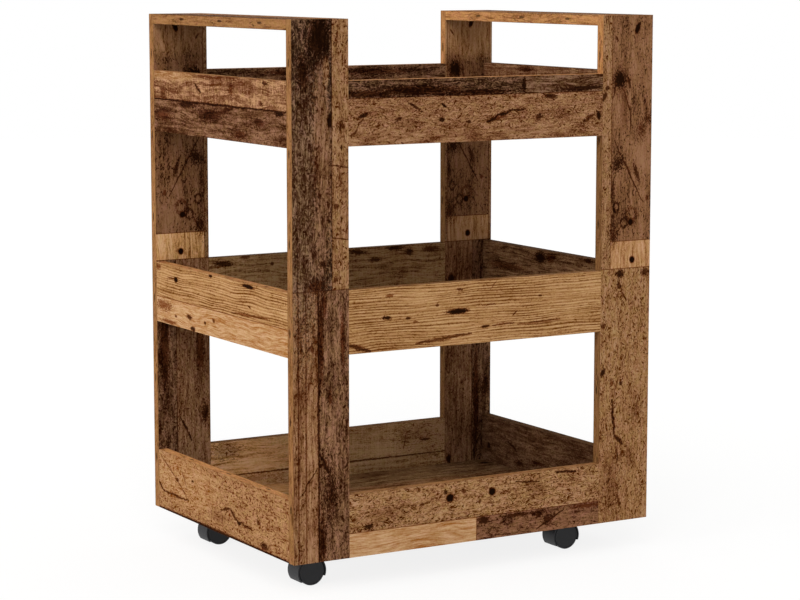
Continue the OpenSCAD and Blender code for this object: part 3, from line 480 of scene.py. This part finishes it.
def plank_figure():
    """A printed plank's figure: grit, fibres, rings, stains, worm specks and saw marks, in three tones."""
    tones, numbers = [(label, COLOUR) for label in TONES], [(label, NUMBER) for label in SHARES + SIZES]
    tree, given, result = pattern(
        "Plank figure", [("Point", VECTOR)] + tones + numbers, [("Colour", COLOUR), ("Tone", NUMBER)])
    # Each plank is cut from another place of the pattern.
    seed = add(tree, "CombineXYZ", {"Z": (given, "Seed")})
    point = add(tree, "VectorMath ADD", [(given, "Point"), seed])
    # The rings wander a little, as they do round a knot.
    drift = field(tree, point, (90.0, 40.0, 1.0), 1.0)
    reach = add(tree, "Math MULTIPLY", [(given, "Wander"), 3.0])
    drift = add(tree, "Math MULTIPLY", [drift, reach])
    drift = add(tree, "CombineXYZ", {"Y": drift})
    bent = add(tree, "VectorMath ADD", [point, drift])
    # Grit is brushed a little this way and that, over about 15 mm.
    swirl = add(tree, "VectorMath DIVIDE", [point, (15.0, 9.0, 1.0)])
    swirl = add(tree, "TexNoise", {"Vector": swirl, "Scale": 1.0, "Detail": 1.0})
    swirled = add(tree, "VectorMath MULTIPLY_ADD", [(swirl, "Color"), (14.0, 11.0, 0.0), point])
    # How long the cells of each pattern are for their width.
    cells = {"Grit": 1.9, "Streak": (given, "Run"), "Mottle": 2.4, "Speck": 2.0}
    for size, length in cells.items():
        run = add(tree, "Math MULTIPLY", [(given, size), length])
        cells[size] = add(tree, "CombineXYZ", [run, (given, size), 1.0])
    stain = field(tree, point, cells["Mottle"], 6.0, 0.68)
    # Softwood rings are thin dark lines, and show more in some places than in others.
    ring = field(tree, bent, (190.0, 17.0, 1.0), 1.0)
    ring = add(tree, "Math MULTIPLY", [ring, 16.0])
    place = add(tree, "SeparateXYZ", [bent])
    ring = add(tree, "Math MULTIPLY_ADD", [(place, "Y"), 2 * math.pi / RING_GAP, ring])
    ring = add(tree, "Math SINE", [ring])
    ring = add(tree, "Math MULTIPLY_ADD", [ring, 0.5, 0.5])
    ring = add(tree, "Math POWER", [ring, 2.0])
    ring = add(tree, "Math SUBTRACT", [ring, 0.375])
    shows = add(tree, "Math MULTIPLY_ADD", [stain, 1.1, -0.33])
    ring = add(tree, "Math MULTIPLY", [ring, shows])
    total = 0.0
    for share, part in (
            ("Grits", field(tree, swirled, cells["Grit"], 3.0, 0.65)),
            ("Fibres", field(tree, bent, (20.0, 1.4, 1.0), 2.0, 0.6)),
            ("Streaks", field(tree, bent, cells["Streak"], 3.0)), ("Mottles", stain), ("Rings", ring),
            # The saw left fine lines across the plank.
            ("Saw", field(tree, point, (1.8, 45.0, 1.0), 1.0))):
        total = add(tree, "Math MULTIPLY_ADD", [part, (given, share), total])
    # Worm specks lie in swarms, thicker where the stains are.
    worm = field(tree, swirled, cells["Speck"], 3.0, 0.6)
    worm = add(tree, "Math MULTIPLY_ADD", [stain, -0.2, worm])
    worm = add(tree, "MapRange", {"Value": worm, "From Min": 0.06, "From Max": 0.12}, **SMOOTH)
    worm = add(tree, "Math MULTIPLY", [worm, (given, "Specks")])
    # Noise keeps near its middle, so it is spread to reach from the dark tone to the light one.
    tone = add(tree, "Math MULTIPLY_ADD", [total, 3.6, 0.55])
    tone = add(tree, "Math SUBTRACT", [tone, worm], use_clamp=True)
    low = add(tree, "Math MULTIPLY", [tone, 2.0], use_clamp=True)
    high = add(tree, "Math MULTIPLY_ADD", [tone, 2.0, -1.0], use_clamp=True)
    below = add(tree, "Mix", {0: low, UNDER: (given, "Dark"), OVER: (given, "Middle")}, data_type="RGBA")
    colour = add(tree, "Mix", {0: high, UNDER: (below, MIXED), OVER: (given, "Light")}, data_type="RGBA")
    # Old oak is redder in some places and greener in others, most where it is gritty.
    cast = field(tree, swirled, (13.0, 6.0, 1.0), 4.0, 0.65)
    cast = add(tree, "MapRange", {"Value": cast, "From Min": -0.2, "From Max": 0.2})
    cast = add(tree, "Mix", {0: cast, UNDER: GREENER, OVER: REDDER}, data_type="RGBA")
    shows = add(tree, "Math MULTIPLY", [(given, "Grits"), 1.8], use_clamp=True)
    colour = add(tree, "Mix", {0: shows, UNDER: (colour, MIXED), OVER: (cast, MIXED)},
                 data_type="RGBA", blend_type="MULTIPLY")
    feed_sockets(tree, result, {"Colour": (colour, MIXED), "Tone": tone})
    return tree


def print_change():
    """Lays one print over another: its tones and shares by one mask, and its sizes by another."""
    kinds = [(label, COLOUR if label in TONES else NUMBER) for label in TONES + SHARES + SIZES]
    tree, given, result = pattern(
        "Print change", [("Mask", NUMBER), ("Size mask", NUMBER)] + kinds
        + [("Under " + label, kind) for label, kind in kinds], kinds)
    for label, kind in kinds:
        mask = (given, "Size mask" if label in SIZES else "Mask")
        under, over = (given, "Under " + label), (given, label)
        if kind == COLOUR:
            mixed = add(tree, "Mix", {0: mask, UNDER: under, OVER: over}, data_type="RGBA")
            feed_sockets(tree, result, {label: (mixed, MIXED)})
        else:
            mixed = add(tree, "Mix", {0: mask, UNDER_NUMBER: under, OVER_NUMBER: over}, data_type="FLOAT")
            feed_sockets(tree, result, {label: mixed})
    return tree


def plank_outline():
    """Where a plank lies: inside its limits, and the dark seam round it."""
    limits = ("Along from", "Along to", "Across from", "Across to")
    tree, given, result = pattern(
        "Plank outline", [("Point", VECTOR)] + [(label, NUMBER) for label in limits],
        [("Inside", NUMBER), ("Seam", NUMBER)])
    place = add(tree, "SeparateXYZ", [(given, "Point")])
    inset = None
    for low, high, axis in (("Along from", "Along to", 0), ("Across from", "Across to", 1)):
        for first, second in (((place, axis), (given, low)), ((given, high), (place, axis))):
            gap = add(tree, "Math SUBTRACT", [first, second])
            inset = gap if inset is None else add(tree, "Math MINIMUM", [inset, gap])
    inside = add(tree, "Math GREATER_THAN", [inset, 0.0])
    # The seam is a line of shade just inside the plank's outline, and is gone 0.9 mm from it.
    seam = add(tree, "MapRange", {
        "Value": inset, "From Min": 0.3, "From Max": 0.9, "To Min": 1.0, "To Max": 0.0}, **SMOOTH)
    seam = add(tree, "Math MULTIPLY", [seam, inside])
    feed_sockets(tree, result, {"Inside": inside, "Seam": seam})
    return tree


def mark_pattern(name, places, sizes):
    """The pattern of a dark mark, with the places and sizes that it takes."""
    return pattern(name, [(label, VECTOR) for label in ("Point", *places)]
                   + [(label, NUMBER) for label in (*sizes, "Under")], [("Mask", NUMBER)])


def end_mark(tree, given, result, reach, solid, gone):
    """Darkens a mark in full up to one reach and not at all past another, over the marks under it."""
    mask = add(tree, "MapRange", {
        "Value": reach, "From Min": solid, "From Max": gone, "To Min": 1.0, "To Max": 0.0}, **SMOOTH)
    mask = add(tree, "Math MULTIPLY", [mask, (given, "Depth")])
    mask = add(tree, "Math MAXIMUM", [mask, (given, "Under")])
    feed_sockets(tree, result, {"Mask": mask})


def print_spot():
    """A ragged oval of the print, such as a knot, a nail hole or a stain, or a ring where it is hollow."""
    tree, given, result = mark_pattern(
        "Print spot", ("Middle", "Half size"), ("Turn", "Ragged", "Hollow", "Depth"))
    offset = add(tree, "VectorMath SUBTRACT", [(given, "Point"), (given, "Middle")])
    offset = add(tree, "VectorRotate", {"Vector": offset, "Angle": (given, "Turn")}, rotation_type="Z_AXIS")
    offset = add(tree, "VectorMath DIVIDE", [offset, (given, "Half size")])
    offset = add(tree, "VectorMath MULTIPLY", [offset, FLAT])
    reach = add(tree, "VectorMath LENGTH", [offset])
    torn = field(tree, (given, "Point"), (3.2, 1.8, 1.0), 4.0, 0.8)
    torn = add(tree, "Math MULTIPLY", [torn, (given, "Ragged")])
    reach = add(tree, "Math MULTIPLY_ADD", [torn, 4.2, (reach, "Value")])
    # A ring is as wide as a quarter of its radius on either side.
    ring = add(tree, "Math SUBTRACT", [reach, 1.0])
    ring = add(tree, "Math ABSOLUTE", [ring])
    ring = add(tree, "Math MULTIPLY", [ring, 4.0])
    reach = add(tree, "Mix", {0: (given, "Hollow"), UNDER_NUMBER: reach, OVER_NUMBER: ring},
                data_type="FLOAT")
    end_mark(tree, given, result, reach, 0.72, 1.25)
    return tree


def print_crack():
    """A dark line of the print between two places, which wanders and thins towards its ends."""
    tree, given, result = mark_pattern("Print crack", ("Start", "End"), ("Width", "Depth", "Wander"))
    # It strays this way and that over about 14 mm.
    stray = add(tree, "VectorMath DIVIDE", [(given, "Point"), (14.0, 14.0, 1.0)])
    stray = add(tree, "TexNoise", {"Vector": stray, "Scale": 1.0, "Detail": 3.0, "Roughness": 0.6})
    stray = add(tree, "VectorMath SUBTRACT", [(stray, "Color"), (0.5, 0.5, 0.5)])
    far = add(tree, "Math MULTIPLY", [(given, "Wander"), 3.0])
    stray = add(tree, "VectorMath SCALE", {0: stray, "Scale": far})
    place = add(tree, "VectorMath ADD", [(given, "Point"), stray])
    place = add(tree, "VectorMath MULTIPLY", [place, FLAT])
    away = add(tree, "VectorMath SUBTRACT", [place, (given, "Start")])
    span = add(tree, "VectorMath SUBTRACT", [(given, "End"), (given, "Start")])
    passed = add(tree, "VectorMath DOT_PRODUCT", [away, span])
    whole = add(tree, "VectorMath DOT_PRODUCT", [span, span])
    along = add(tree, "Math DIVIDE", [(passed, "Value"), (whole, "Value")], use_clamp=True)
    foot = add(tree, "VectorMath SCALE", {0: span, "Scale": along})
    gap = add(tree, "VectorMath DISTANCE", [away, foot])
    # Half as wide at its ends as in its middle.
    thin = add(tree, "Math SUBTRACT", [along, 0.5])
    thin = add(tree, "Math ABSOLUTE", [thin])
    thin = add(tree, "Math MULTIPLY_ADD", [thin, -1.0, 1.0])
    share = add(tree, "Math MULTIPLY", [(given, "Width"), thin])
    share = add(tree, "Math MULTIPLY", [share, 0.75])
    share = add(tree, "Math DIVIDE", [(gap, "Value"), share])
    torn = field(tree, (given, "Point"), (3.4, 2.0, 1.0), 4.0, 0.8)
    share = add(tree, "Math MULTIPLY_ADD", [torn, 5.0, share])
    end_mark(tree, given, result, share, 0.5, 1.9)
    return tree


GROUPS = {}


def use(tree, maker, feeds):
    """A group node of the pattern that a maker makes, which is made once."""
    if maker.__name__ not in GROUPS:
        GROUPS[maker.__name__] = maker()
    return add(tree, "Group", feeds, node_tree=GROUPS[maker.__name__])


def material(name):
    """An empty material with its shader and output nodes."""
    made = bpy.data.materials.new(name)
    made.use_nodes = True
    tree = made.node_tree
    tree.nodes.clear()
    shader = add(tree, "BsdfPrincipled")
    add(tree, "OutputMaterial", {"Surface": shader})
    return made, tree, shader


def dress(node, finish):
    """Puts one material on all of a CAD node's slots."""
    mesh_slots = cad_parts[node].material_slots
    for mesh_slot in mesh_slots:
        mesh_slot.material = finish


def print_values(name, seed):
    """The tones, shares and sizes of one print."""
    look = bpy.context.scene.cart_finish.prints[name]
    values = {label: tuple(getattr(look, label.lower())) for label in TONES}
    values.update({label: getattr(look, label.lower()) for label in SHARES + SIZES[:-1]})
    return {**values, "Seed": seed}


def spot_feeds(spot, point, under):
    """What feeds the print spot for one spot."""
    return {
        "Point": point, "Middle": (spot.along, spot.across, 0.0), "Half size": (spot.long, spot.wide, 1.0),
        "Turn": math.radians(-spot.turn), "Ragged": spot.ragged, "Hollow": spot.hollow, "Depth": spot.depth,
        "Under": under}


def printed_film(tree, point, items):
    """The print at each place of a board's film, and how dark its seams and marks make it there."""
    looks, marks = None, 0.0
    for step, item in enumerate(items):
        if isinstance(item, Plank):
            outline = use(tree, plank_outline, {
                "Point": point, "Along from": item.along[0], "Along to": item.along[1],
                "Across from": item.across[0], "Across to": item.across[1]})
            seam = add(tree, "Math MULTIPLY", [(outline, "Seam"), SEAM])
            marks = add(tree, "Math MAXIMUM", [seam, marks])
            masks = {"Mask": (outline, "Inside"), "Size mask": (outline, "Inside")}
        elif isinstance(item, Patch):
            masks = {"Mask": use(tree, print_spot, spot_feeds(item.spot, point, 0.0)), "Size mask": 0.0}
        elif isinstance(item, Spot):
            marks = use(tree, print_spot, spot_feeds(item, point, marks))
        elif isinstance(item, Crack):
            marks = use(tree, print_crack, {
                "Point": point, "Start": (*item.start, 0.0), "End": (*item.end, 0.0), "Width": item.width,
                "Depth": item.depth, "Wander": item.wander, "Under": marks})
        if isinstance(item, (Plank, Patch)):
            values = print_values(item.print, PLANK_STEP * step)
            if looks is None:
                looks = values
            else:
                under = {"Under " + label: look for label, look in looks.items()}
                change = use(tree, print_change, {**masks, **values, **under})
                looks = {label: (change, label) for label in looks}
    return looks, marks


def board_material(node):
    """Melamine-faced board: a satin paper film printed with old planks, and a printed band on the edges."""
    finish = bpy.context.scene.cart_finish
    made, tree, shader = material("Melamine board, old plank print, " + node.replace("_", " "))
    low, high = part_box(node)
    size = [(high[axis] - low[axis]) / MM for axis in range(3)]
    deep, wide, long = sorted(range(3), key=lambda axis: size[axis])
    seed = sum(ord(letter) for letter in node) % BOARD_PLACES * BOARD_STEP
    spot_on = add(tree, "TexCoord")
    place = add(tree, "VectorMath SUBTRACT", [(spot_on, "Object"), tuple(low)])
    place = add(tree, "VectorMath SCALE", {0: place, "Scale": 1 / MM})
    place = add(tree, "SeparateXYZ", [place])
    # The photograph shows the top of a level board, and the front or left face of an upright one.
    back = add(tree, "Math LESS_THAN" if deep == 2 else "Math GREATER_THAN", [(place, deep), size[deep] / 2])
    along = add(tree, "Math MULTIPLY_ADD", [back, BACK_SHIFT, (place, long)])
    turned = add(tree, "Math MULTIPLY_ADD", [(place, wide), -2.0, size[wide]])
    across = add(tree, "Math MULTIPLY_ADD", [back, turned, (place, wide)])
    depth = add(tree, "Math MULTIPLY_ADD", [back, BACK_STEP, seed])
    point = add(tree, "CombineXYZ", [along, across, depth])
    looks, marks = printed_film(tree, point, LAYOUT[node])
    figure = use(tree, plank_figure, {"Point": point, **looks})
    # A mark's soft rim is a reddish stain, and its middle is nearly black.
    rim = add(tree, "Math MULTIPLY", [marks, 2.0], use_clamp=True)
    core = add(tree, "Math MULTIPLY_ADD", [marks, 3.0, -2.0], use_clamp=True)
    stained = add(tree, "Mix", {0: rim, UNDER: (figure, "Colour"), OVER: finish.stain},
                  data_type="RGBA", blend_type="MULTIPLY")
    film = add(tree, "Mix", {0: core, UNDER: (stained, MIXED), OVER: finish.mark}, data_type="RGBA")
    band_colour, band_tone = band_print(tree, node, place, deep, long, size[deep] / 2, seed)
    # A face is what looks along the board's thinnest side.
    facing = add(tree, "SeparateXYZ", [(spot_on, "Normal")])
    facing = add(tree, "Math ABSOLUTE", [(facing, deep)])
    facing = add(tree, "Math GREATER_THAN", [facing, 0.8])
    colour = add(tree, "Mix", {0: facing, UNDER: band_colour, OVER: (film, MIXED)}, data_type="RGBA")
    tone = add(tree, "Mix", {0: facing, UNDER_NUMBER: band_tone, OVER_NUMBER: (figure, "Tone")},
               data_type="FLOAT")
    # The film is satin, and its dark grain is duller. The pores are embossed 1.4 mm wide, coarser than real
    # ones, so that they show.
    rough = add(tree, "MapRange", {"Value": tone, "To Min": 0.7, "To Max": 0.58})
    pores = add(tree, "VectorMath DIVIDE", [point, (32.0, 1.4, 1.4)])
    pores = add(tree, "TexNoise", {"Vector": pores, "Scale": 1.0, "Detail": 2.0})
    bump = add(tree, "Bump", {"Strength": 0.6, "Distance": finish.emboss, "Height": pores})
    # The photograph shows no sheen on the film, so its mirror light is kept close to nothing.
    feed_sockets(tree, shader, {"Base Color": (colour, MIXED), "Roughness": rough, "Normal": bump,
                                "IOR": 1.5, "Specular IOR Level": 0.004})
    return made


def band_print(tree, node, place, deep, long, middle, seed):
    """The edge band: tan oak with fine fibres and a small knot at each turn of the printing roller, with
    painted light and shade in its brightness.
    """
    finish = bpy.context.scene.cart_finish
    point = add(tree, "CombineXYZ", [(place, long), (place, deep), seed + BAND_STEP])
    # The band's tones are scaled by the board's painted light and shade.
    share = BAND_SHARES.get(node, 1.0)
    tones = {label: tuple(share * part for part in tone)
             for label, tone in zip(TONES, (finish.band_dark, finish.band_middle, finish.band_light))}
    figure = use(tree, plank_figure, {
        "Point": point, **print_values("tan oak", 0.0), **tones, "Streak": 3.0, "Streaks": 0.5,
        "Specks": 0.15})
    turn = add(tree, "Math FLOORED_MODULO", [(place, long), BAND_REPEAT])
    rolled = add(tree, "CombineXYZ", [turn, (place, deep), seed])
    marks = 0.0
    for knot in (Spot(77, middle + 1, 7, 1.8, 0.75, 0.5), Spot(96, middle - 3, 4, 1.2, 0.5, 0.6, 20),
                 Spot(103, middle + 1, 5, 1.0, 0.4, 0.6, -20), Spot(60, middle - 4, 9, 0.9, 0.35, 0.6)):
        marks = use(tree, print_spot, spot_feeds(knot, rolled, marks))
    # The glue line is a thin shade where the band meets each face.
    glue = add(tree, "Math SUBTRACT", [(place, deep), middle])
    glue = add(tree, "Math ABSOLUTE", [glue])
    glue = add(tree, "MapRange", {
        "Value": glue, "From Min": middle - 1.0, "From Max": middle - 0.4, "To Max": 0.5}, **SMOOTH)
    marks = add(tree, "Math MAXIMUM", [glue, marks])
    # Painted light: the right posts' bands are paler above the top tray.
    upper = add(tree, "Math GREATER_THAN", [(place, long), RAIL_TOP])
    lift = add(tree, "Math MULTIPLY_ADD", [upper, UPPER_SHARES.get(node, 1.0) - 1.0, 1.0])
    lifted = add(tree, "VectorMath SCALE", {0: (figure, "Colour"), "Scale": lift})
    colour = add(tree, "Mix", {0: marks, UNDER: lifted, OVER: finish.mark}, data_type="RGBA")
    return (colour, MIXED), (figure, "Tone")


def dress_boards(boards):
    """Each board's own print, and arrises eased as a banding machine leaves them."""
    for node in boards:
        dress(node, board_material(node))
        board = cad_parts[node]
        weld = board.modifiers.new("Weld", "WELD")
        weld.merge_threshold = 0.01 * MM
        bevel = board.modifiers.new("Arris", "BEVEL")
        bevel.width = bpy.context.scene.cart_finish.arris
        bevel.segments = 2
        bevel.limit_method = "ANGLE"
        bevel.angle_limit = math.radians(60)
        bevel.harden_normals = True


def zinc_material():
    """Bright zinc plate on steel: grey metal with a faint cloudy bloom and fine pickled grain."""
    finish = bpy.context.scene.cart_finish
    made, tree, shader = material("Zinc-plated steel, bright")
    place = (add(tree, "TexCoord"), "Object")
    bloom = add(tree, "TexNoise", {"Vector": place, "Scale": 1 / (6 * MM), "Detail": 4.0})
    grain = add(tree, "TexNoise", {"Vector": place, "Scale": 1 / (0.4 * MM), "Detail": 2.0})
    shade = add(tree, "MapRange", {"Value": bloom, **NOISE_SPAN, "To Min": 0.82, "To Max": 1.05})
    colour = add(tree, "VectorMath SCALE", {0: finish.zinc, "Scale": shade})
    rough = add(tree, "MapRange", {"Value": bloom, **NOISE_SPAN, "To Min": 0.28, "To Max": 0.45})
    bump = add(tree, "Bump", {"Strength": 0.25, "Distance": 0.03 * MM, "Height": grain})
    feed_sockets(tree, shader, {"Base Color": colour, "Roughness": rough, "Normal": bump, "Metallic": 1.0})
    return made


def beech_material():
    """Turned beech: pale wood with short brown flecks along the dowel."""
    finish = bpy.context.scene.cart_finish
    made, tree, shader = material("Beech, turned and bare")
    place = (add(tree, "TexCoord"), "Object")
    flecks = add(tree, "TexNoise", {"Vector": place, "Scale": 1 / (0.9 * MM), "Detail": 2.0})
    rings = add(tree, "TexNoise", {"Vector": place, "Scale": 1 / (5 * MM), "Detail": 2.0})
    shade = add(tree, "MapRange", {
        "Value": flecks, "From Min": 0.55, "From Max": 0.68, "To Min": 1.0, "To Max": 0.72})
    rings = add(tree, "MapRange", {"Value": rings, "To Min": 0.85, "To Max": 1.12})
    shade = add(tree, "Math MULTIPLY", [shade, rings])
    colour = add(tree, "VectorMath SCALE", {0: finish.beech, "Scale": shade})
    bump = add(tree, "Bump", {"Strength": 0.4, "Distance": 0.05 * MM, "Height": flecks})
    feed_sockets(tree, shader, {"Base Color": colour, "Roughness": 0.6, "Normal": bump,
                                "IOR": 1.5, "Specular IOR Level": 0.3})
    return made


def nylon_material(name, nylon, grain_size):
    """Moulded nylon: black, with a fine spark-eroded grain that keeps it dull."""
    made, tree, shader = material(name)
    place = (add(tree, "TexCoord"), "Object")
    grain = add(tree, "TexNoise", {"Vector": place, "Scale": 1 / (grain_size * MM), "Detail": 3.0})
    flow = add(tree, "TexNoise", {"Vector": place, "Scale": 1 / (9 * MM), "Detail": 2.0})
    shade = add(tree, "MapRange", {"Value": flow, **NOISE_SPAN, "To Min": 0.8, "To Max": 1.2})
    colour = add(tree, "VectorMath SCALE", {0: nylon, "Scale": shade})
    rough = add(tree, "MapRange", {"Value": grain, "To Min": 0.42, "To Max": 0.6})
    bump = add(tree, "Bump", {"Strength": 0.3, "Distance": 0.04 * MM, "Height": grain})
    feed_sockets(tree, shader, {"Base Color": colour, "Roughness": rough, "Normal": bump,
                                "IOR": 1.53, "Specular IOR Level": 0.3})
    return made


def floor_material():
    """Matt paint: pale, and nearly white to the camera, with the object's shadow kept faint."""
    finish = bpy.context.scene.cart_finish
    made, tree, shader = material("Matt floor paint, pale")
    place = (add(tree, "TexCoord"), "Object")
    roller = add(tree, "TexNoise", {"Vector": place, "Scale": 1 / (30 * MM), "Detail": 3.0})
    shade = add(tree, "MapRange", {"Value": roller, "To Min": 0.99, "To Max": 1.01})
    colour = add(tree, "VectorMath SCALE", {0: finish.floor, "Scale": shade})
    feed_sockets(tree, shader, {"Base Color": colour, "Roughness": 0.9, "Specular IOR Level": 0.1})
    glow = add(tree, "Emission", {"Strength": FLOOR_GLOW})
    seen = seen_directly(tree)
    seen = add(tree, "Math MULTIPLY", [seen, GLOW_SHARE])
    mixed = add(tree, "MixShader", [seen, shader, glow])
    output = next(node for node in tree.nodes if node.bl_idname == "ShaderNodeOutputMaterial")
    feed_sockets(tree, output, {"Surface": mixed})
    return made


def seen_directly(tree):
    """1 for the rays of the camera and of mirror and clear surfaces."""
    path = add(tree, "LightPath")
    seen = add(tree, "Math MAXIMUM", [(path, "Is Camera Ray"), (path, "Is Glossy Ray")])
    return add(tree, "Math MAXIMUM", [seen, (path, "Is Transmission Ray")])


class CART_OT_posts(bpy.types.Operator):
    """Dress the four posts"""
    bl_idname = "cart.posts"
    bl_label = "Posts"

    def execute(self, context):
        dress_boards(POSTS)
        return {"FINISHED"}


class CART_OT_handles(bpy.types.Operator):
    """Dress the two handle boards"""
    bl_idname = "cart.handles"
    bl_label = "Handle boards"

    def execute(self, context):
        dress_boards(HANDLES)
        return {"FINISHED"}


class CART_OT_trays(bpy.types.Operator):
    """Dress the rails and the shelf of each tray"""
    bl_idname = "cart.trays"
    bl_label = "Trays"

    def execute(self, context):
        for tray in TRAYS:
            dress_boards([f"{tray}_{side}_rail" for side in SIDES] + [tray + "_shelf"])
        return {"FINISHED"}


class CART_OT_dowels(bpy.types.Operator):
    """Dress the wood dowels"""
    bl_idname = "cart.dowels"
    bl_label = "Dowels"

    def execute(self, context):
        dress("wood_dowels", beech_material())
        return {"FINISHED"}


class CART_OT_fittings(bpy.types.Operator):
    """Dress the cam fittings, the screws, and the steel of the casters"""
    bl_idname = "cart.fittings"
    bl_label = "Metal fittings"

    def execute(self, context):
        zinc = zinc_material()
        for node in ("cam_bolts", "cam_discs", "caster_screws", "swivel_clips"):
            dress(node, zinc)
        for corner in CORNERS:
            for piece in ("plate", "swivel_pin", "axle"):
                dress(f"{corner}_{piece}", zinc)
        return {"FINISHED"}


class CART_OT_casters(bpy.types.Operator):
    """Dress the caster housings and their wheels"""
    bl_idname = "cart.casters"
    bl_label = "Casters"

    def execute(self, context):
        finish = context.scene.cart_finish
        housing = nylon_material("Moulded nylon, caster housing", finish.nylon, 0.8)
        wheel = nylon_material("Moulded nylon, caster wheel", finish.wheel, 0.5)
        for corner in CORNERS:
            dress(corner + "_housing", housing)
            dress(corner + "_wheel_fore", wheel)
            dress(corner + "_wheel_aft", wheel)
        return {"FINISHED"}


class CART_OT_stage(bpy.types.Operator):
    """Lay the floor, light the studio and set the camera"""
    bl_idname = "cart.stage"
    bl_label = "Studio"

    def execute(self, context):
        lay_floor()
        light_studio()
        set_camera()
        context.scene.view_settings.view_transform = "Standard"
        return {"FINISHED"}


def lay_floor():
    """A round floor, wide enough to fill every view."""
    turns = [2 * math.pi * step / FLOOR_SIDES for step in range(FLOOR_SIDES)]
    rim = [(FLOOR_RADIUS * math.cos(turn), FLOOR_RADIUS * math.sin(turn), 0.0) for turn in turns]
    mesh = bpy.data.meshes.new("studio_floor")
    mesh.from_pydata(rim, [], [range(FLOOR_SIDES)])
    mesh.materials.append(floor_material())
    floor = bpy.data.objects.new("studio_floor", mesh)
    bpy.context.scene.collection.objects.link(floor)


def light_studio():
    """An even dome that looks white to the camera, and soft lights from the front left and the left side."""
    finish = bpy.context.scene.cart_finish
    world = bpy.data.worlds.new("studio")
    bpy.context.scene.world = world
    world.use_nodes = True
    tree = world.node_tree
    tree.nodes.clear()
    dome = add(tree, "Background", {"Color": WHITE, "Strength": finish.dome})
    backdrop = add(tree, "Background", {"Color": WHITE, "Strength": 1.0})
    mixed = add(tree, "MixShader", [seen_directly(tree), dome, backdrop])
    add(tree, "OutputWorld", {"Surface": mixed})
    for name, (left, high, share) in SOFT_LIGHTS.items():
        sun = bpy.data.lights.new(name, "SUN")
        sun.energy = finish.key * share
        sun.angle = math.radians(SOFT_ANGLE)
        light = bpy.data.objects.new(name, sun)
        light.rotation_euler = (math.radians(90 - high), 0.0, math.radians(-left))
        bpy.context.scene.collection.objects.link(light)


def set_camera():
    """The photograph's viewing angle: from the front left, a little above the top tray."""
    lens = bpy.data.cameras.new("photo_view")
    lens.lens = bpy.context.scene.cart_finish.lens
    lens.sensor_width = SENSOR_WIDTH
    camera = bpy.data.objects.new("photo_view", lens)
    camera.location = CAMERA_PLACE
    camera.rotation_euler = (math.radians(90 - CAMERA_DOWN), 0.0, math.radians(-CAMERA_RIGHT))
    bpy.context.scene.collection.objects.link(camera)
    bpy.context.scene.camera = camera


class CART_PT_looks(bpy.types.Panel):
    """The cart's pieces and finish"""
    bl_idname = "CART_PT_looks"
    bl_label = "Kitchen cart"
    bl_space_type = "VIEW_3D"
    bl_region_type = "UI"
    bl_category = "Cart"

    def draw(self, context):
        column = self.layout.column()
        for step in STEPS:
            column.operator(step.bl_idname)
        finish = context.scene.cart_finish
        for name in CartFinish.__annotations__:
            if name != "prints":
                column.prop(finish, name)
        for look in finish.prints:
            row = column.row()
            row.label(text=look.name)
            for tone in TONES:
                row.prop(look, tone.lower(), text="")


STEPS = (CART_OT_posts, CART_OT_handles, CART_OT_trays, CART_OT_dowels, CART_OT_fittings, CART_OT_casters,
         CART_OT_stage)
CLASSES = (PlankPrint, CartFinish, *STEPS, CART_PT_looks)


def register():
    for each in CLASSES:
        bpy.utils.register_class(each)
    bpy.types.Scene.cart_finish = bpy.props.PointerProperty(type=CartFinish)


def unregister():
    del bpy.types.Scene.cart_finish
    for each in reversed(CLASSES):
        bpy.utils.unregister_class(each)


def fill_prints(finish):
    """Puts the plank prints into the scene's own list, where a user can change them."""
    for name, look in PRINTS.items():
        item = finish.prints.add()
        item.name = name
        for label, value in look._asdict().items():
            setattr(item, label, linear(value) if isinstance(value, str) else value)


def main():
    register()
    fill_prints(bpy.context.scene.cart_finish)
    for step in STEPS:
        family, name = step.bl_idname.split(".")
        getattr(getattr(bpy.ops, family), name)()


if __name__ == "__main__":
    main()
